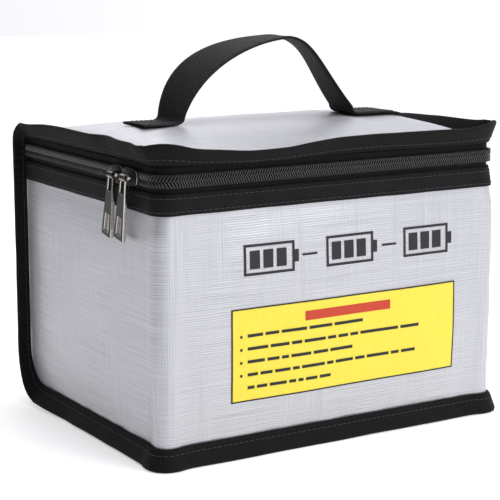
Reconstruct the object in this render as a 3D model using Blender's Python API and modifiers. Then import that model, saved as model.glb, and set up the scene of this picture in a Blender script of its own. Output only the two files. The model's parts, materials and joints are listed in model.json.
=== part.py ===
"""A fire-resistant bag that stores and charges battery packs.

One strip of silver-coated glass cloth wraps the front and both sides. A second strip forms the bottom,
the back and the lid. The seam between the two strips is bound in black tape and stands out as a fin all
the way round. A two-way coil zip runs round three sides below the lid, and a webbing handle is sewn on top.

Frame: the origin is on the floor under the middle of the bag, +Z up, +X to the right along the front
wall, and the front wall faces -Y.
"""

import math

import bmesh
import bpy
from mathutils import Matrix, Vector

# ---------------------------------------------------------------- driving sizes, in metres
WIDTH = 0.215  # over the outer faces of the side walls
DEPTH = 0.165  # from the front wall's outer face to the back's
BOTTOM_Z = 0.0102  # underside of the bottom: the bound seam below it stands on the floor
ZIP_Z = 0.150  # middle of the zip chain, which is also the fold that the lid turns about
LID_TAPE = 0.0078  # from the middle of the chain to the lid's seam
LID_CROWN = 0.0098  # how far the lid's middle stands above its edges
LID_REAR_DROP = 0.85  # share of the crown that is lost at the rear fold
LID_SIDE_POWER = 8  # a high power keeps the crown up to the sides
LID_DEPTH_POWER = 2.2  # and a low one lets it fall away to the front and back
WALL_CORNER = 0.010  # outer radius of the folds at the front corners, seen from above
BOTTOM_CORNER = 0.020  # outer radius of the fold between bottom and back, seen from the side
LID_FOLD = 0.0065  # outer radius of the fold between the lid and the back

CLOTH = 0.0008  # coated glass cloth
FOAM = 0.0025  # foam sheet inside every wall
LINING = 0.0006
GAP = 0.0003  # between pieces that touch

BAND_DROP = 0.0175  # from the middle of the chain to the lower edge of the ribbon below it
BAND_HEIGHT = 0.0112
BAND_THICKNESS = 0.0009
BAND_LAP = 0.0038  # how far the ribbon reaches up over the zip tape

LID_LAYER_GAP = 0.0005  # more than GAP, because the pillow's slopes bring the lid's layers closer together
LID_COLUMNS = 16  # how finely the lid's pillow shape is divided
LID_ROWS = 12

BINDING_THICKNESS = 0.0024
BINDING_ROUND = 0.35 * BINDING_THICKNESS
BINDING_WIDTH = 0.0102  # of a bound seam, from root to outer edge
BINDING_LEAN = math.radians(20)  # of the fins from the vertical, outwards
BINDING_CLEAR = 0.0004  # from a fin's root to the seam
BINDING_TWIST = 0.040  # length over which the fins turn from level to leaning

TAPE = 0.0006
COIL_WIDTH = 0.0030  # of one half of the chain
COIL_THICKNESS = 0.0022
CHAIN_SPLIT = 0.0012  # between the two halves of the chain

SLIDER_LENGTH = 0.0155
SLIDER_WIDTH = 0.0104
SLIDER_PLATE = 0.0010
SLIDER_CORNER = 0.32  # radius of the plates' corners, as a share of their width
SLIDER_WEB = 0.0006  # thickness of the post that joins the slider's two plates
SLIDER_POST = 0.0040  # length of that post along the chain
SLIDER_SPACE = 0.0004  # between the two sliders where they meet
SLIDERS_Y = -0.0493  # where the two sliders meet on the left side
BAIL_BAR = 0.0008  # radius of the bar that the pull swings on
BAIL_LEG = 0.0013  # thickness of the bail's legs along the chain
BAIL_SPAN = 0.0068  # clear length of the bar between its legs
BAIL_STAND = 0.0024  # from the slider's plate to the middle of the bar
BAIL_FORWARD = 0.0010  # from the slider's middle towards its nose
BAIL_LEG_HALF = 0.0014  # half the height of the bail's legs
BAIL_LIP = 0.0003  # how far the legs reach past the bar

PULL_LENGTH = 0.0338  # from the bar to the lower edge
PULL_TOP = 0.0058
PULL_BOTTOM = 0.0104
PULL_THICKNESS = 0.0018
PULL_CLEAR = 0.0004  # between the bar and the pull's sleeve
SLEEVE_CLEAR = 0.0002  # at each end of the sleeve, beyond the usual gap
SLEEVE_WALL = 0.0007
PULL_EYE = (0.0034, 0.0072)  # width and height of the upper window
PULL_SLOT = (0.0050, 0.0098)  # width and height of the lower window
PULL_EDGE = 0.0022  # below the lower window
PULL_LEAN = math.radians(11)  # how far the pulls hang towards the back

STRAP_WIDTH = 0.025
STRAP_THICKNESS = 0.0016
LEFT_FOOT = 0.017  # lengths of the sewn-down parts of the strap
RIGHT_FOOT = 0.030
FOOT_BEND = 0.004  # radius where the strap leaves the lid
HANDLE_LEFT = -0.058  # where the strap leaves the lid
HANDLE_RIGHT = 0.060
HANDLE_TOP_X = 0.014
HANDLE_HEIGHT = 0.0465  # of the arch above the lid's middle
LEAN_HEIGHT = 0.0165  # of the line about which the arch leans, above the lid's middle
HOLLOW_CLEAR = 0.00045  # between the arch's round ends and the hollow ends of the feet
THREAD = 0.0005
STITCH_INSET = 0.003  # from the strap's edges to the sewn box
STITCH_WIDTH = 0.0009

LABEL_SIZE = (0.147, 0.0505)
LABEL_CENTRE = (0.0063, 0.0553)  # across the front, and above the floor
FILM = 0.0003

# ---------------------------------------------------------------- sizes that follow from those
HALF_W = WIDTH / 2
HALF_D = DEPTH / 2
FOAM_INSET = CLOTH + GAP
LINING_INSET = FOAM_INSET + FOAM + GAP
LID_SEAM_Z = ZIP_Z + LID_TAPE
LID_EDGE_Z = LID_SEAM_Z + BINDING_CLEAR + CLOTH  # the lid's outer face at its seams
BAND_Z = ZIP_Z - BAND_DROP
WALL_TOP = BAND_Z + BAND_HEIGHT - BAND_LAP
SLIDER_INNER_WIDTH = SLIDER_WIDTH - 0.0014  # the inner plate is a little smaller all round
SLIDER_INNER_LENGTH = SLIDER_LENGTH - 0.0015
INNER_TOP = ZIP_Z - SLIDER_INNER_WIDTH / 2 - 2 * GAP  # foam and lining stop below the slider's inner plate
COIL_OUT = GAP + COIL_THICKNESS  # from the wall's outer face to the chain's outer face
FIN_ROOT = BINDING_CLEAR  # from the wall's outer face to the middle of a fin's root
PLATE_OUT = COIL_OUT + GAP  # to the inner face of the slider's outer plate
BAR_OUT = PLATE_OUT + SLIDER_PLATE + BAIL_STAND

LID_PIECES = (
    "lid_outer",
    "lid_foam",
    "lid_lining",
    "lid_binding",
    "zip_tape_upper",
    "zip_coil_upper",
    "handle_foot_left",
    "handle_foot_right",
    "stitch_box_left",
    "stitch_box_right",
)

COLOURS = {
    "silver_cloth": ((0.62, 0.63, 0.65), 0.42, 0.35),
    "foam": ((0.86, 0.86, 0.83), 0.9, 0.0),
    "lining_cloth": ((0.55, 0.56, 0.58), 0.5, 0.2),
    "black_tape": ((0.012, 0.012, 0.013), 0.75, 0.0),
    "black_webbing": ((0.014, 0.014, 0.015), 0.7, 0.0),
    "zip_coil": ((0.02, 0.02, 0.021), 0.4, 0.0),
    "dark_nickel": ((0.20, 0.19, 0.18), 0.28, 1.0),
    "label_film": ((0.93, 0.80, 0.08), 0.5, 0.0),
    "thread": ((0.02, 0.02, 0.02), 0.7, 0.0),
}


# ---------------------------------------------------------------- making objects
def clear_scene():
    for obj in list(bpy.data.objects):
        bpy.data.objects.remove(obj)


def new_collection(name):
    collection = bpy.data.collections.new(name)
    bpy.context.scene.collection.children.link(collection)
    return collection


def material(name):
    found = bpy.data.materials.get(name)
    if found:
        return found
    colour, roughness, metallic = COLOURS[name]
    made = bpy.data.materials.new(name)
    made.use_nodes = True
    shader = made.node_tree.nodes["Principled BSDF"]
    shader.inputs["Base Color"].default_value = (*colour, 1)
    shader.inputs["Roughness"].default_value = roughness
    shader.inputs["Metallic"].default_value = metallic
    return made


def new_object(name, mesh_edit, material_name=None, helper=False):
    """An object whose mesh is the bmesh given, in the bag's collection or, for a helper, with the cutters."""
    mesh = bpy.data.meshes.new(name)
    mesh_edit.to_mesh(mesh)
    mesh_edit.free()
    obj = bpy.data.objects.new(name, mesh)
    if helper:
        CUTTERS.objects.link(obj)
        obj.hide_render = True
        obj.display_type = "WIRE"
    else:
        BAG.objects.link(obj)
        mesh.materials.append(material(material_name))
    return obj


def hang_on_axis(name, location, parts):
    """Parents the parts to an empty on their joint's axis, and leaves them where they are."""
    axis = bpy.data.objects.new(name, None)
    axis.location = location
    BAG.objects.link(axis)
    for part in parts:
        part.parent = axis
        part.matrix_parent_inverse = Matrix.Translation(axis.location).inverted()


def smooth(obj, angle=35):
    obj.data.shade_smooth()
    obj.data.set_sharp_from_angle(angle=math.radians(angle))


def solidify(obj, thickness):
    """Gives an open surface its thickness, half on each side."""
    modifier = obj.modifiers.new("thickness", "SOLIDIFY")
    modifier.thickness = thickness
    modifier.offset = 0
    modifier.use_even_offset = True
    return obj


def bevel(obj, width, segments=2):
    modifier = obj.modifiers.new("rounded edges", "BEVEL")
    modifier.width = width
    modifier.segments = segments
    modifier.limit_method = "ANGLE"
    modifier.angle_limit = math.radians(50)
    return obj


def boolean(obj, other, operation="DIFFERENCE"):
    modifier = obj.modifiers.new(operation.lower(), "BOOLEAN")
    modifier.operation = operation
    modifier.object = other
    return obj


def box_mesh(low, high):
    edit = bmesh.new()
    bmesh.ops.create_cube(edit, size=1)
    size = Vector(high) - Vector(low)
    bmesh.ops.scale(edit, vec=size, verts=edit.verts)
    bmesh.ops.translate(edit, vec=(Vector(low) + Vector(high)) / 2, verts=edit.verts)
    return edit


def cylinder_mesh(radius, length, centre, axis, segments=32):
    edit = bmesh.new()
    bmesh.ops.create_cone(
        edit, cap_ends=True, segments=segments, radius1=radius, radius2=radius, depth=length
    )
    turn = Vector((0, 0, 1)).rotation_difference(Vector(axis)).to_matrix().to_4x4()
    bmesh.ops.transform(edit, matrix=Matrix.Translation(centre) @ turn, verts=edit.verts)
    return edit


def pull_out(line, reach):
    """A surface made by drawing edges through the points of line and extruding them, each point by its own step."""
    edit = bmesh.new()
    row = [edit.verts.new(point) for point in line]
    edges = [edit.edges.new(pair) for pair in zip(row, row[1:])]
    made = set(bmesh.ops.extrude_edge_only(edit, edges=edges)["geom"])
    for vert, step in zip(row, reach):
        ends = [edge.other_vert(vert) for edge in vert.link_edges]
        next(end for end in ends if end in made).co += Vector(step)
    return edit


def prism(outline, step):
    """A solid made by filling a closed flat outline and extruding it by step."""
    edit = bmesh.new()
    face = edit.faces.new([edit.verts.new(point) for point in outline])
    made = bmesh.ops.extrude_face_region(edit, geom=[face])["geom"]
    moved = [item for item in made if isinstance(item, bmesh.types.BMVert)]
    bmesh.ops.translate(edit, vec=step, verts=moved)
    bmesh.ops.recalc_face_normals(edit, faces=edit.faces)
    return edit


def arc(centre, radius, start, end, steps):
    """Points on a flat arc, both ends included, as pairs; the angles are in degrees."""
    angles = [math.radians(start + (end - start) * i / steps) for i in range(steps + 1)]
    return [(centre[0] + radius * math.cos(a), centre[1] + radius * math.sin(a)) for a in angles]


# ---------------------------------------------------------------- lines that the cloth follows
def wall_line(out, rear_y, z):
    """The line round the left side, the front and the right side, `out` outside the walls' outer faces."""
    x, y, radius = HALF_W + out, HALF_D + out, WALL_CORNER + out
    left = arc((-x + radius, -y + radius), radius, 180, 270, 6)
    right = arc((x - radius, -y + radius), radius, 270, 360, 6)
    return [Vector((px, py, z)) for px, py in [(-x, rear_y), *left, *right, (x, rear_y)]]


def floor_line(inset, front_y, top_z, x):
    """The line along the bottom and up the back, `inset` inside their outer faces, at one x."""
    y, z, radius = HALF_D - inset, BOTTOM_Z + inset, BOTTOM_CORNER - inset
    corner = arc((y - radius, z + radius), radius, 270, 360, 8)
    return [Vector((x, py, pz)) for py, pz in [(front_y, z), *corner, (y, top_z)]]


def side_outline(inset, front_y, rear_y, low_z, top_z, x):
    """A side wall's outline with the rounded lower rear corner of floor_line."""
    y, z, radius = HALF_D - inset, BOTTOM_Z + inset, BOTTOM_CORNER - inset
    corner = arc((y - radius, z + radius), radius, 270, 360, 8)
    cut = [(min(py, rear_y), max(pz, low_z)) for py, pz in corner]
    kept = [pair for i, pair in enumerate(cut) if pair not in cut[:i]]
    corners = [(front_y, low_z), *kept, (rear_y, top_z), (front_y, top_z)]
    return [Vector((x, py, pz)) for py, pz in corners]


def lid_height(x, y):
    """The lid's outer face: a pillow, level at its seams and a little lower at the rear fold."""
    across = 1 - abs(x / HALF_W) ** LID_SIDE_POWER
    drop = LID_REAR_DROP if y > 0 else 1
    along = 1 - drop * abs(y / HALF_D) ** LID_DEPTH_POWER
    return LID_EDGE_Z + LID_CROWN * max(across, 0) * max(along, 0)


# ---------------------------------------------------------------- the body's cloth, foam and lining
def make_wall(name, inset, thickness, material_name, top_z):
    """The strip round three sides, cut to the curve of the fold between bottom and back."""
    middle = inset + thickness / 2
    line = wall_line(-middle, HALF_D - inset, BOTTOM_Z + inset)
    wall = new_object(name, pull_out(line, [(0, 0, top_z - BOTTOM_Z - inset)] * len(line)), material_name)
    solidify(wall, thickness)
    outline = side_outline(inset, -DEPTH, HALF_D - inset, BOTTOM_Z + inset - GAP, ZIP_Z, -WIDTH)
    keep = new_object(name + "_outline", prism(outline, (2 * WIDTH, 0, 0)), helper=True)
    boolean(wall, keep, "INTERSECT")
    smooth(wall)
    return wall


def make_floor(name, inset, thickness, side_inset, material_name, top_z):
    """The strip that forms the bottom and the back, between the side walls."""
    half = HALF_W - side_inset
    line = floor_line(inset + thickness / 2, -HALF_D + side_inset, top_z, -half)
    strip = new_object(name, pull_out(line, [(2 * half, 0, 0)] * len(line)), material_name)
    solidify(strip, thickness)
    keep = plan_prism(name, side_inset)
    boolean(strip, keep, "INTERSECT")
    smooth(strip)
    return strip


def plan_prism(name, inset):
    """What lies inside the plan with the walls' rounded front corners, `inset` inside their outer faces."""
    x, y, corner = HALF_W - inset, HALF_D - inset, WALL_CORNER - inset
    plan = [*arc((-x + corner, -y + corner), corner, 180, 270, 6),
            *arc((x - corner, -y + corner), corner, 270, 360, 6), (x, DEPTH), (-x, DEPTH)]
    outline = [Vector((px, py, 0)) for px, py in plan]
    return new_object(name + "_plan", prism(outline, (0, 0, 2 * ZIP_Z)), helper=True)


def make_foam_boards():
    """Flat boards inside the five walls; none crosses a fold."""
    near, far = FOAM_INSET, FOAM_INSET + FOAM
    low_z = BOTTOM_Z + far + GAP
    flat_x = HALF_W - WALL_CORNER
    new_object(
        "front_foam",
        box_mesh((-flat_x, -HALF_D + near, low_z), (flat_x, -HALF_D + far, INNER_TOP)),
        "foam",
    )
    new_object(
        "back_foam",
        box_mesh(
            (-HALF_W + near, HALF_D - far, BOTTOM_Z + BOTTOM_CORNER),
            (HALF_W - near, HALF_D - near, INNER_TOP),
        ),
        "foam",
    )
    new_object("bottom_foam", bottom_foam_mesh(near, far), "foam")
    outline = side_outline(LINING_INSET, -HALF_D + WALL_CORNER, HALF_D - LINING_INSET, low_z, INNER_TOP, 0)
    for name, x in (("left_foam", -HALF_W + near), ("right_foam", HALF_W - far)):
        board = [point + Vector((x, 0, 0)) for point in outline]
        new_object(name, prism(board, (FOAM, 0, 0)), "foam")


def bottom_foam_mesh(near, far):
    x, y, radius = HALF_W - near, HALF_D - near, WALL_CORNER - near
    rear = HALF_D - BOTTOM_CORNER
    plan = [*arc((-x + radius, -y + radius), radius, 180, 270, 4),
            *arc((x - radius, -y + radius), radius, 270, 360, 4), (x, rear), (-x, rear)]
    return prism([Vector((px, py, BOTTOM_Z + near)) for px, py in plan], (0, 0, far - near))


# ---------------------------------------------------------------- bound seams
def fin_step(outwards, lean, up):
    """From a fin's root to its outer edge: outwards is a level direction, lean the angle from the vertical."""
    return BINDING_WIDTH * (outwards * math.sin(lean) + Vector((0, 0, up)) * math.cos(lean))


def rear_leans(count, first, last):
    """Leans that turn smoothly from a fin that stands level to one that leans by BINDING_LEAN."""
    eased = [0.5 - 0.5 * math.cos(math.pi * i / (count - 1)) for i in range(count)]
    return [first + (last - first) * share for share in eased]


def seam_run(level_z, corner, end_z, up):
    """Points and steps of a bound seam: along one rear edge, round its corner, round three sides, and back."""
    x, y = HALF_W + FIN_ROOT, HALF_D + FIN_ROOT
    rear_y = HALF_D - BINDING_THICKNESS / 2
    turn = arc((rear_y - corner, level_z - up * corner), corner, 0, 90 * up, 8)
    ahead = [(turn[-1][0] - BINDING_TWIST * i / 5, level_z) for i in range(1, 6)]
    rear = [(rear_y, end_z), *turn, *ahead]
    leans = rear_leans(len(rear), math.pi / 2, BINDING_LEAN)
    points, steps = [], []
    for (py, pz), lean in zip(rear, leans):
        points.append(Vector((-x, py, pz)))
        steps.append(fin_step(Vector((-1, 0, 0)), lean, up))
    radius = WALL_CORNER + FIN_ROOT
    for centre_x, start in ((-x + radius, 180), (x - radius, 270)):
        for i in range(7):
            angle = math.radians(start + 15 * i)
            outwards = Vector((math.cos(angle), math.sin(angle), 0))
            points.append(Vector((centre_x, -y + radius, level_z)) + radius * outwards)
            steps.append(fin_step(outwards, BINDING_LEAN, up))
    for i in reversed(range(len(rear))):
        points.append(points[i] * Vector((-1, 1, 1)))
        steps.append(steps[i] * Vector((-1, 1, 1)))
    return points, steps


def make_bindings():
    foot_z = BOTTOM_Z - BINDING_CLEAR - BINDING_THICKNESS / 2 * math.sin(BINDING_LEAN)
    points, steps = seam_run(foot_z, BOTTOM_CORNER, ZIP_Z - GAP / 2, -1)
    body = new_object("body_binding", pull_out(points, steps), "black_tape")
    solidify(body, BINDING_THICKNESS)
    bevel(body, BINDING_ROUND)
    floor = new_object("floor_cut", box_mesh((-WIDTH, -DEPTH, -ZIP_Z), (WIDTH, DEPTH, 0)), helper=True)
    boolean(body, floor)
    smooth(body)
    rim_z = LID_SEAM_Z + BINDING_CLEAR + BINDING_THICKNESS / 2 * math.sin(BINDING_LEAN)
    points, steps = seam_run(rim_z, LID_FOLD, ZIP_Z + GAP / 2, 1)
    lid = new_object("lid_binding", pull_out(points, steps), "black_tape")
    solidify(lid, BINDING_THICKNESS)
    bevel(lid, BINDING_ROUND)
    smooth(lid)


# ---------------------------------------------------------------- zip
def make_band_and_zip():
    """The ribbon, both halves of the tape and both halves of the chain, each a strip round three sides."""
    clear_y = HALF_D - BINDING_THICKNESS - GAP  # what stands outside the wall ends before the rear fins
    half_chain = CHAIN_SPLIT / 2 + COIL_WIDTH
    strips = (
        ("lower_band", GAP, BAND_THICKNESS, BAND_Z, BAND_Z + BAND_HEIGHT, clear_y, "black_tape"),
        ("zip_tape_lower", -TAPE, TAPE, WALL_TOP + GAP, ZIP_Z - CHAIN_SPLIT / 2, HALF_D, "black_tape"),
        ("zip_tape_upper", -TAPE, TAPE, ZIP_Z + CHAIN_SPLIT / 2, LID_SEAM_Z - GAP, HALF_D, "black_tape"),
        ("zip_coil_lower", GAP, COIL_THICKNESS, ZIP_Z - half_chain, ZIP_Z - CHAIN_SPLIT / 2, clear_y, "zip_coil"),
        ("zip_coil_upper", GAP, COIL_THICKNESS, ZIP_Z + CHAIN_SPLIT / 2, ZIP_Z + half_chain, clear_y, "zip_coil"),
    )
    for name, out, thickness, low_z, high_z, rear_y, material_name in strips:
        line = wall_line(out + thickness / 2, rear_y, low_z)
        strip = new_object(name, pull_out(line, [(0, 0, high_z - low_z)] * len(line)), material_name)
        smooth(solidify(strip, thickness))


def slider_plate(name, length, width, near, far, y):
    """A slider's plate with a rounded nose and tail, between two distances outside the side wall."""
    corner = width * SLIDER_CORNER
    half_l, half_w = length / 2, width / 2
    outline = []
    for start, (sy, sz) in zip((270, 0, 90, 180), ((1, -1), (1, 1), (-1, 1), (-1, -1))):
        outline += arc((y + sy * (half_l - corner), ZIP_Z + sz * (half_w - corner)), corner, start, start + 90, 4)
    x = -HALF_W - far
    return new_object(name, prism([Vector((x, py, pz)) for py, pz in outline], (far - near, 0, 0)), "dark_nickel")


def make_slider(name, nose):
    """One slider on the left side, and where its bar is; nose is +1 if its nose points to the back and -1 if not."""
    y = SLIDERS_Y - nose * (SLIDER_LENGTH + SLIDER_SPACE) / 2
    slider = slider_plate(name, SLIDER_LENGTH, SLIDER_WIDTH, PLATE_OUT, PLATE_OUT + SLIDER_PLATE, y)
    inner = slider_plate(
        name + "_inner", SLIDER_INNER_LENGTH, SLIDER_INNER_WIDTH, -TAPE - GAP - SLIDER_PLATE, -TAPE - GAP, y
    )
    post_y = y + nose * (SLIDER_LENGTH / 2 - SLIDER_POST)
    low = (-HALF_W - PLATE_OUT - SLIDER_PLATE / 2, post_y - SLIDER_POST / 2, ZIP_Z - SLIDER_WEB / 2)
    high = (-HALF_W + TAPE + GAP + SLIDER_PLATE / 2, post_y + SLIDER_POST / 2, ZIP_Z + SLIDER_WEB / 2)
    post = new_object(name + "_post", box_mesh(low, high), helper=True)
    bar_y = y + nose * BAIL_FORWARD
    joined = [inner, post, *bail_pieces(name, bar_y)]
    for piece in joined:
        as_helper(piece)
        boolean(slider, piece, "UNION")
    smooth(slider)
    return bar_y


def as_helper(obj):
    for collection in list(obj.users_collection):
        collection.objects.unlink(obj)
    CUTTERS.objects.link(obj)
    obj.hide_render = True
    obj.display_type = "WIRE"


def bail_pieces(name, y):
    """The bar that the pull swings on, and a leg at each end of it."""
    plate_x = -HALF_W - PLATE_OUT - SLIDER_PLATE
    bar_x = -HALF_W - BAR_OUT
    length = BAIL_SPAN + BAIL_LEG
    bar = new_object(
        name + "_bar", cylinder_mesh(BAIL_BAR, length, (bar_x, y, ZIP_Z), (0, 1, 0), 20), helper=True
    )
    legs = []
    for side in (-1, 1):
        leg_y = y + side * (BAIL_SPAN + BAIL_LEG) / 2
        low = (bar_x - BAIL_BAR - BAIL_LIP, leg_y - BAIL_LEG / 2, ZIP_Z - BAIL_LEG_HALF)
        high = (plate_x + SLIDER_PLATE / 2, leg_y + BAIL_LEG / 2, ZIP_Z + BAIL_LEG_HALF)
        legs.append(new_object(f"{name}_leg_{side}", box_mesh(low, high), helper=True))
    return [bar, *legs]


def make_pull(name, y):
    """The pull: a sleeve round the slider's bar, two arms, and a plate with a window, hanging down."""
    pivot = Vector((-HALF_W - BAR_OUT, y, ZIP_Z))
    inner = BAIL_BAR + PULL_CLEAR
    sleeve_length = BAIL_SPAN - 2 * (GAP + SLEEVE_CLEAR)
    half_t = PULL_THICKNESS / 2
    low_z = -PULL_LENGTH
    outline = [(-PULL_TOP / 2, 0), (-PULL_BOTTOM / 2, low_z), (PULL_BOTTOM / 2, low_z), (PULL_TOP / 2, 0)]
    plate = prism([Vector((-half_t, py, pz)) for py, pz in outline], (PULL_THICKNESS, 0, 0))
    pull = new_object(name, plate, "dark_nickel")
    sleeve = new_object(
        name + "_sleeve", cylinder_mesh(inner + SLEEVE_WALL, sleeve_length, (0, 0, 0), (0, 1, 0), 20), helper=True
    )
    bore = new_object(
        name + "_bore", cylinder_mesh(inner, 2 * sleeve_length, (0, 0, 0), (0, 1, 0), 20), helper=True
    )
    eye_top = -inner - SLEEVE_WALL
    eye = new_object(name + "_eye", window_mesh(PULL_EYE, eye_top - PULL_EYE[1]), helper=True)
    slot = new_object(name + "_slot", window_mesh(PULL_SLOT, low_z + PULL_EDGE), helper=True)
    boolean(pull, sleeve, "UNION")
    for cutter in (bore, eye, slot):
        boolean(pull, cutter)
    lean = Matrix.Rotation(PULL_LEAN, 4, "X")
    for part in (pull, sleeve, bore, eye, slot):
        part.data.transform(lean if part in (pull, eye, slot) else Matrix.Identity(4))
        part.location = pivot
    smooth(pull)


def window_mesh(size, low_z):
    width, height = size
    return box_mesh((-0.01, -width / 2, low_z), (0.01, width / 2, low_z + height))


# ---------------------------------------------------------------- lid
def make_lid_sheet(name, inset, thickness, side_inset, material_name, skirt):
    """A pillow-shaped sheet; skirt says whether it folds down the back to the hinge line."""
    middle = inset + thickness / 2
    profile = lid_profile(middle, skirt)
    edit = bmesh.new()
    bmesh.ops.create_grid(edit, x_segments=LID_COLUMNS, y_segments=len(profile) - 1, size=1)
    for vert in edit.verts:
        x = vert.co.x * HALF_W
        y, z = profile[round((vert.co.y + 1) / 2 * (len(profile) - 1))]
        rise = (z - ZIP_Z) / (profile[0][1] - ZIP_Z)
        vert.co = (x, y, z + rise * (lid_height(x, y) - LID_EDGE_Z))
    sheet = new_object(name, edit, material_name)
    solidify(sheet, thickness)
    boolean(sheet, plan_prism(name, side_inset), "INTERSECT")
    smooth(sheet)
    return sheet


def lid_profile(middle, skirt):
    """The lid sheet's line from front to back at its side edge, as (y, z) pairs."""
    level = LID_EDGE_Z - middle
    rear = HALF_D - LID_FOLD
    flat = [(-HALF_D + (HALF_D + rear) * i / LID_ROWS, level) for i in range(LID_ROWS + 1)]
    if not skirt:
        return flat
    radius = LID_FOLD - middle
    return [*flat[:-1], *arc((rear, level - radius), radius, 90, 0, 5), (HALF_D - middle, ZIP_Z + GAP / 2)]


def make_lid():
    edge = BINDING_THICKNESS / 2 + GAP  # keeps the outer cloth clear of the bound seam
    foam_inset = CLOTH + LID_LAYER_GAP
    lining_inset = foam_inset + FOAM + LID_LAYER_GAP
    make_lid_sheet("lid_outer", 0, CLOTH, edge, "silver_cloth", skirt=True)
    make_lid_sheet("lid_foam", foam_inset, FOAM, WALL_CORNER, "foam", skirt=False)
    make_lid_sheet("lid_lining", lining_inset, LINING, LINING_INSET, "lining_cloth", skirt=True)


# ---------------------------------------------------------------- handle
def bezier(a, b, c, d, steps):
    for i in range(steps + 1):
        t = i / steps
        yield (1 - t) ** 3 * a + 3 * t * (1 - t) ** 2 * b + 3 * t**2 * (1 - t) * c + t**3 * d


def strap_rest_z(x):
    return lid_height(x, 0) + GAP + STRAP_THICKNESS / 2


def handle_line():
    """The strap's middle line from the end of one foot to the end of the other."""
    top_z = lid_height(0, 0) + HANDLE_HEIGHT
    left_z, right_z = (strap_rest_z(x) + FOOT_BEND for x in (HANDLE_LEFT, HANDLE_RIGHT))
    left, top = Vector((HANDLE_LEFT, 0, left_z)), Vector((HANDLE_TOP_X, 0, top_z))
    right = Vector((HANDLE_RIGHT, 0, right_z))
    rise, fall = top_z - left_z, top_z - right_z
    over, back = HANDLE_TOP_X - HANDLE_LEFT, HANDLE_RIGHT - HANDLE_TOP_X
    climb = left + Vector((over * 0.09, 0, rise * 0.5)), top - Vector((over * 0.7, 0, rise * 0.07))
    descent = top + Vector((back * 0.38, 0, 0)), right + Vector((-back * 0.43, 0, fall * 0.55))
    first = bezier(left, *climb, top, 12)
    second = bezier(top, *descent, right, 12)
    arch = [*first, *list(second)[1:]]
    return [*foot_line(HANDLE_LEFT, -1, LEFT_FOOT), *arch, *foot_line(HANDLE_RIGHT, 1, RIGHT_FOOT)[::-1]]


def foot_line(x, side, length):
    """A foot's line from its end to the bend, lying on the lid; side is -1 on the left and 1 on the right."""
    flat = [x + side * (FOOT_BEND + length * (1 - i / 4)) for i in range(5)]
    bend = arc((x + side * FOOT_BEND, strap_rest_z(x) + FOOT_BEND), FOOT_BEND, 270, 270 - side * 75, 4)
    return [Vector((px, 0, strap_rest_z(px))) for px in flat[:-1]] + [Vector((px, 0, pz)) for px, pz in bend]


def strap_mesh():
    line = [point - Vector((0, STRAP_WIDTH / 2, 0)) for point in handle_line()]
    return pull_out(line, [(0, STRAP_WIDTH, 0)] * len(line))


def make_handle():
    """The strap, parted where it leans: the arch has round ends that turn in the hollow ends of the feet."""
    lean_z = lid_height(0, 0) + LEAN_HEIGHT
    reach = 2 * WIDTH
    turn = STRAP_WIDTH / 2
    below = new_object(
        "below_lean_line", box_mesh((-reach, -DEPTH, 0), (reach, DEPTH, lean_z)), helper=True
    )
    round_end = new_object(
        "round_end", cylinder_mesh(turn, 3 * reach, (0, 0, lean_z), (1, 0, 0), 48), helper=True
    )
    boolean(below, round_end)
    above = new_object(
        "above_lean_line", box_mesh((-reach, -DEPTH, lean_z), (reach, DEPTH, 3 * ZIP_Z)), helper=True
    )
    hollow_end = new_object(
        "hollow_end", cylinder_mesh(turn + HOLLOW_CLEAR, 3 * reach, (0, 0, lean_z), (1, 0, 0), 48), helper=True
    )
    boolean(above, hollow_end, "UNION")
    arch = new_object("handle_arch", strap_mesh(), "black_webbing")
    boolean(solidify(arch, STRAP_THICKNESS), below)
    smooth(arch)
    for name, side in (("handle_foot_left", -1), ("handle_foot_right", 1)):
        foot = new_object(name, strap_mesh(), "black_webbing")
        boolean(solidify(foot, STRAP_THICKNESS), above)
        low_x, high_x = sorted((HANDLE_TOP_X, -side * WIDTH))
        other = new_object(
            name + "_other_half", box_mesh((low_x, -DEPTH, 0), (high_x, DEPTH, 3 * ZIP_Z)), helper=True
        )
        boolean(foot, other)
        smooth(foot)


def make_stitching():
    """A sewn box with a cross in it on each foot."""
    for name, x, side, length in (
        ("stitch_box_left", HANDLE_LEFT, -1, LEFT_FOOT),
        ("stitch_box_right", HANDLE_RIGHT, 1, RIGHT_FOOT),
    ):
        near, far = sorted((x + side * FOOT_BEND, x + side * (FOOT_BEND + length - STITCH_INSET)))
        top_z = strap_rest_z((near + far) / 2) + STRAP_THICKNESS / 2 + GAP
        slope = math.atan2(strap_rest_z(far) - strap_rest_z(near), far - near)
        half_x, half_y = (far - near) / 2, STRAP_WIDTH / 2 - STITCH_INSET
        frame = new_object(name, box_mesh((-half_x, -half_y, 0), (half_x, half_y, THREAD)), "thread")
        place = Matrix.Translation(((near + far) / 2, 0, top_z)) @ Matrix.Rotation(-slope, 4, "Y")
        frame.matrix_world = place
        for i in range(4):
            along, beside = (half_x, half_y) if i % 2 == 0 else (half_y, half_x)
            window = new_object(f"{name}_window_{i}", stitch_window(along, beside, i), helper=True)
            window.matrix_world = place
            boolean(frame, window)


def stitch_window(along, beside, quarter):
    """The open triangle between one side of the sewn box and the cross, turned by quarters."""
    inner = along - STITCH_WIDTH
    diagonal = math.hypot(along, beside)
    apex = STITCH_WIDTH / 2 * diagonal / beside
    half = inner * beside / along - STITCH_WIDTH / 2 * diagonal / along
    corners = [(apex, 0, -THREAD), (inner, -half, -THREAD), (inner, half, -THREAD)]
    edit = prism([Vector(corner) for corner in corners], (0, 0, 3 * THREAD))
    turn = Matrix.Rotation(math.pi / 2 * quarter, 3, "Z")
    bmesh.ops.rotate(edit, cent=(0, 0, 0), matrix=turn, verts=edit.verts)
    return edit


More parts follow.
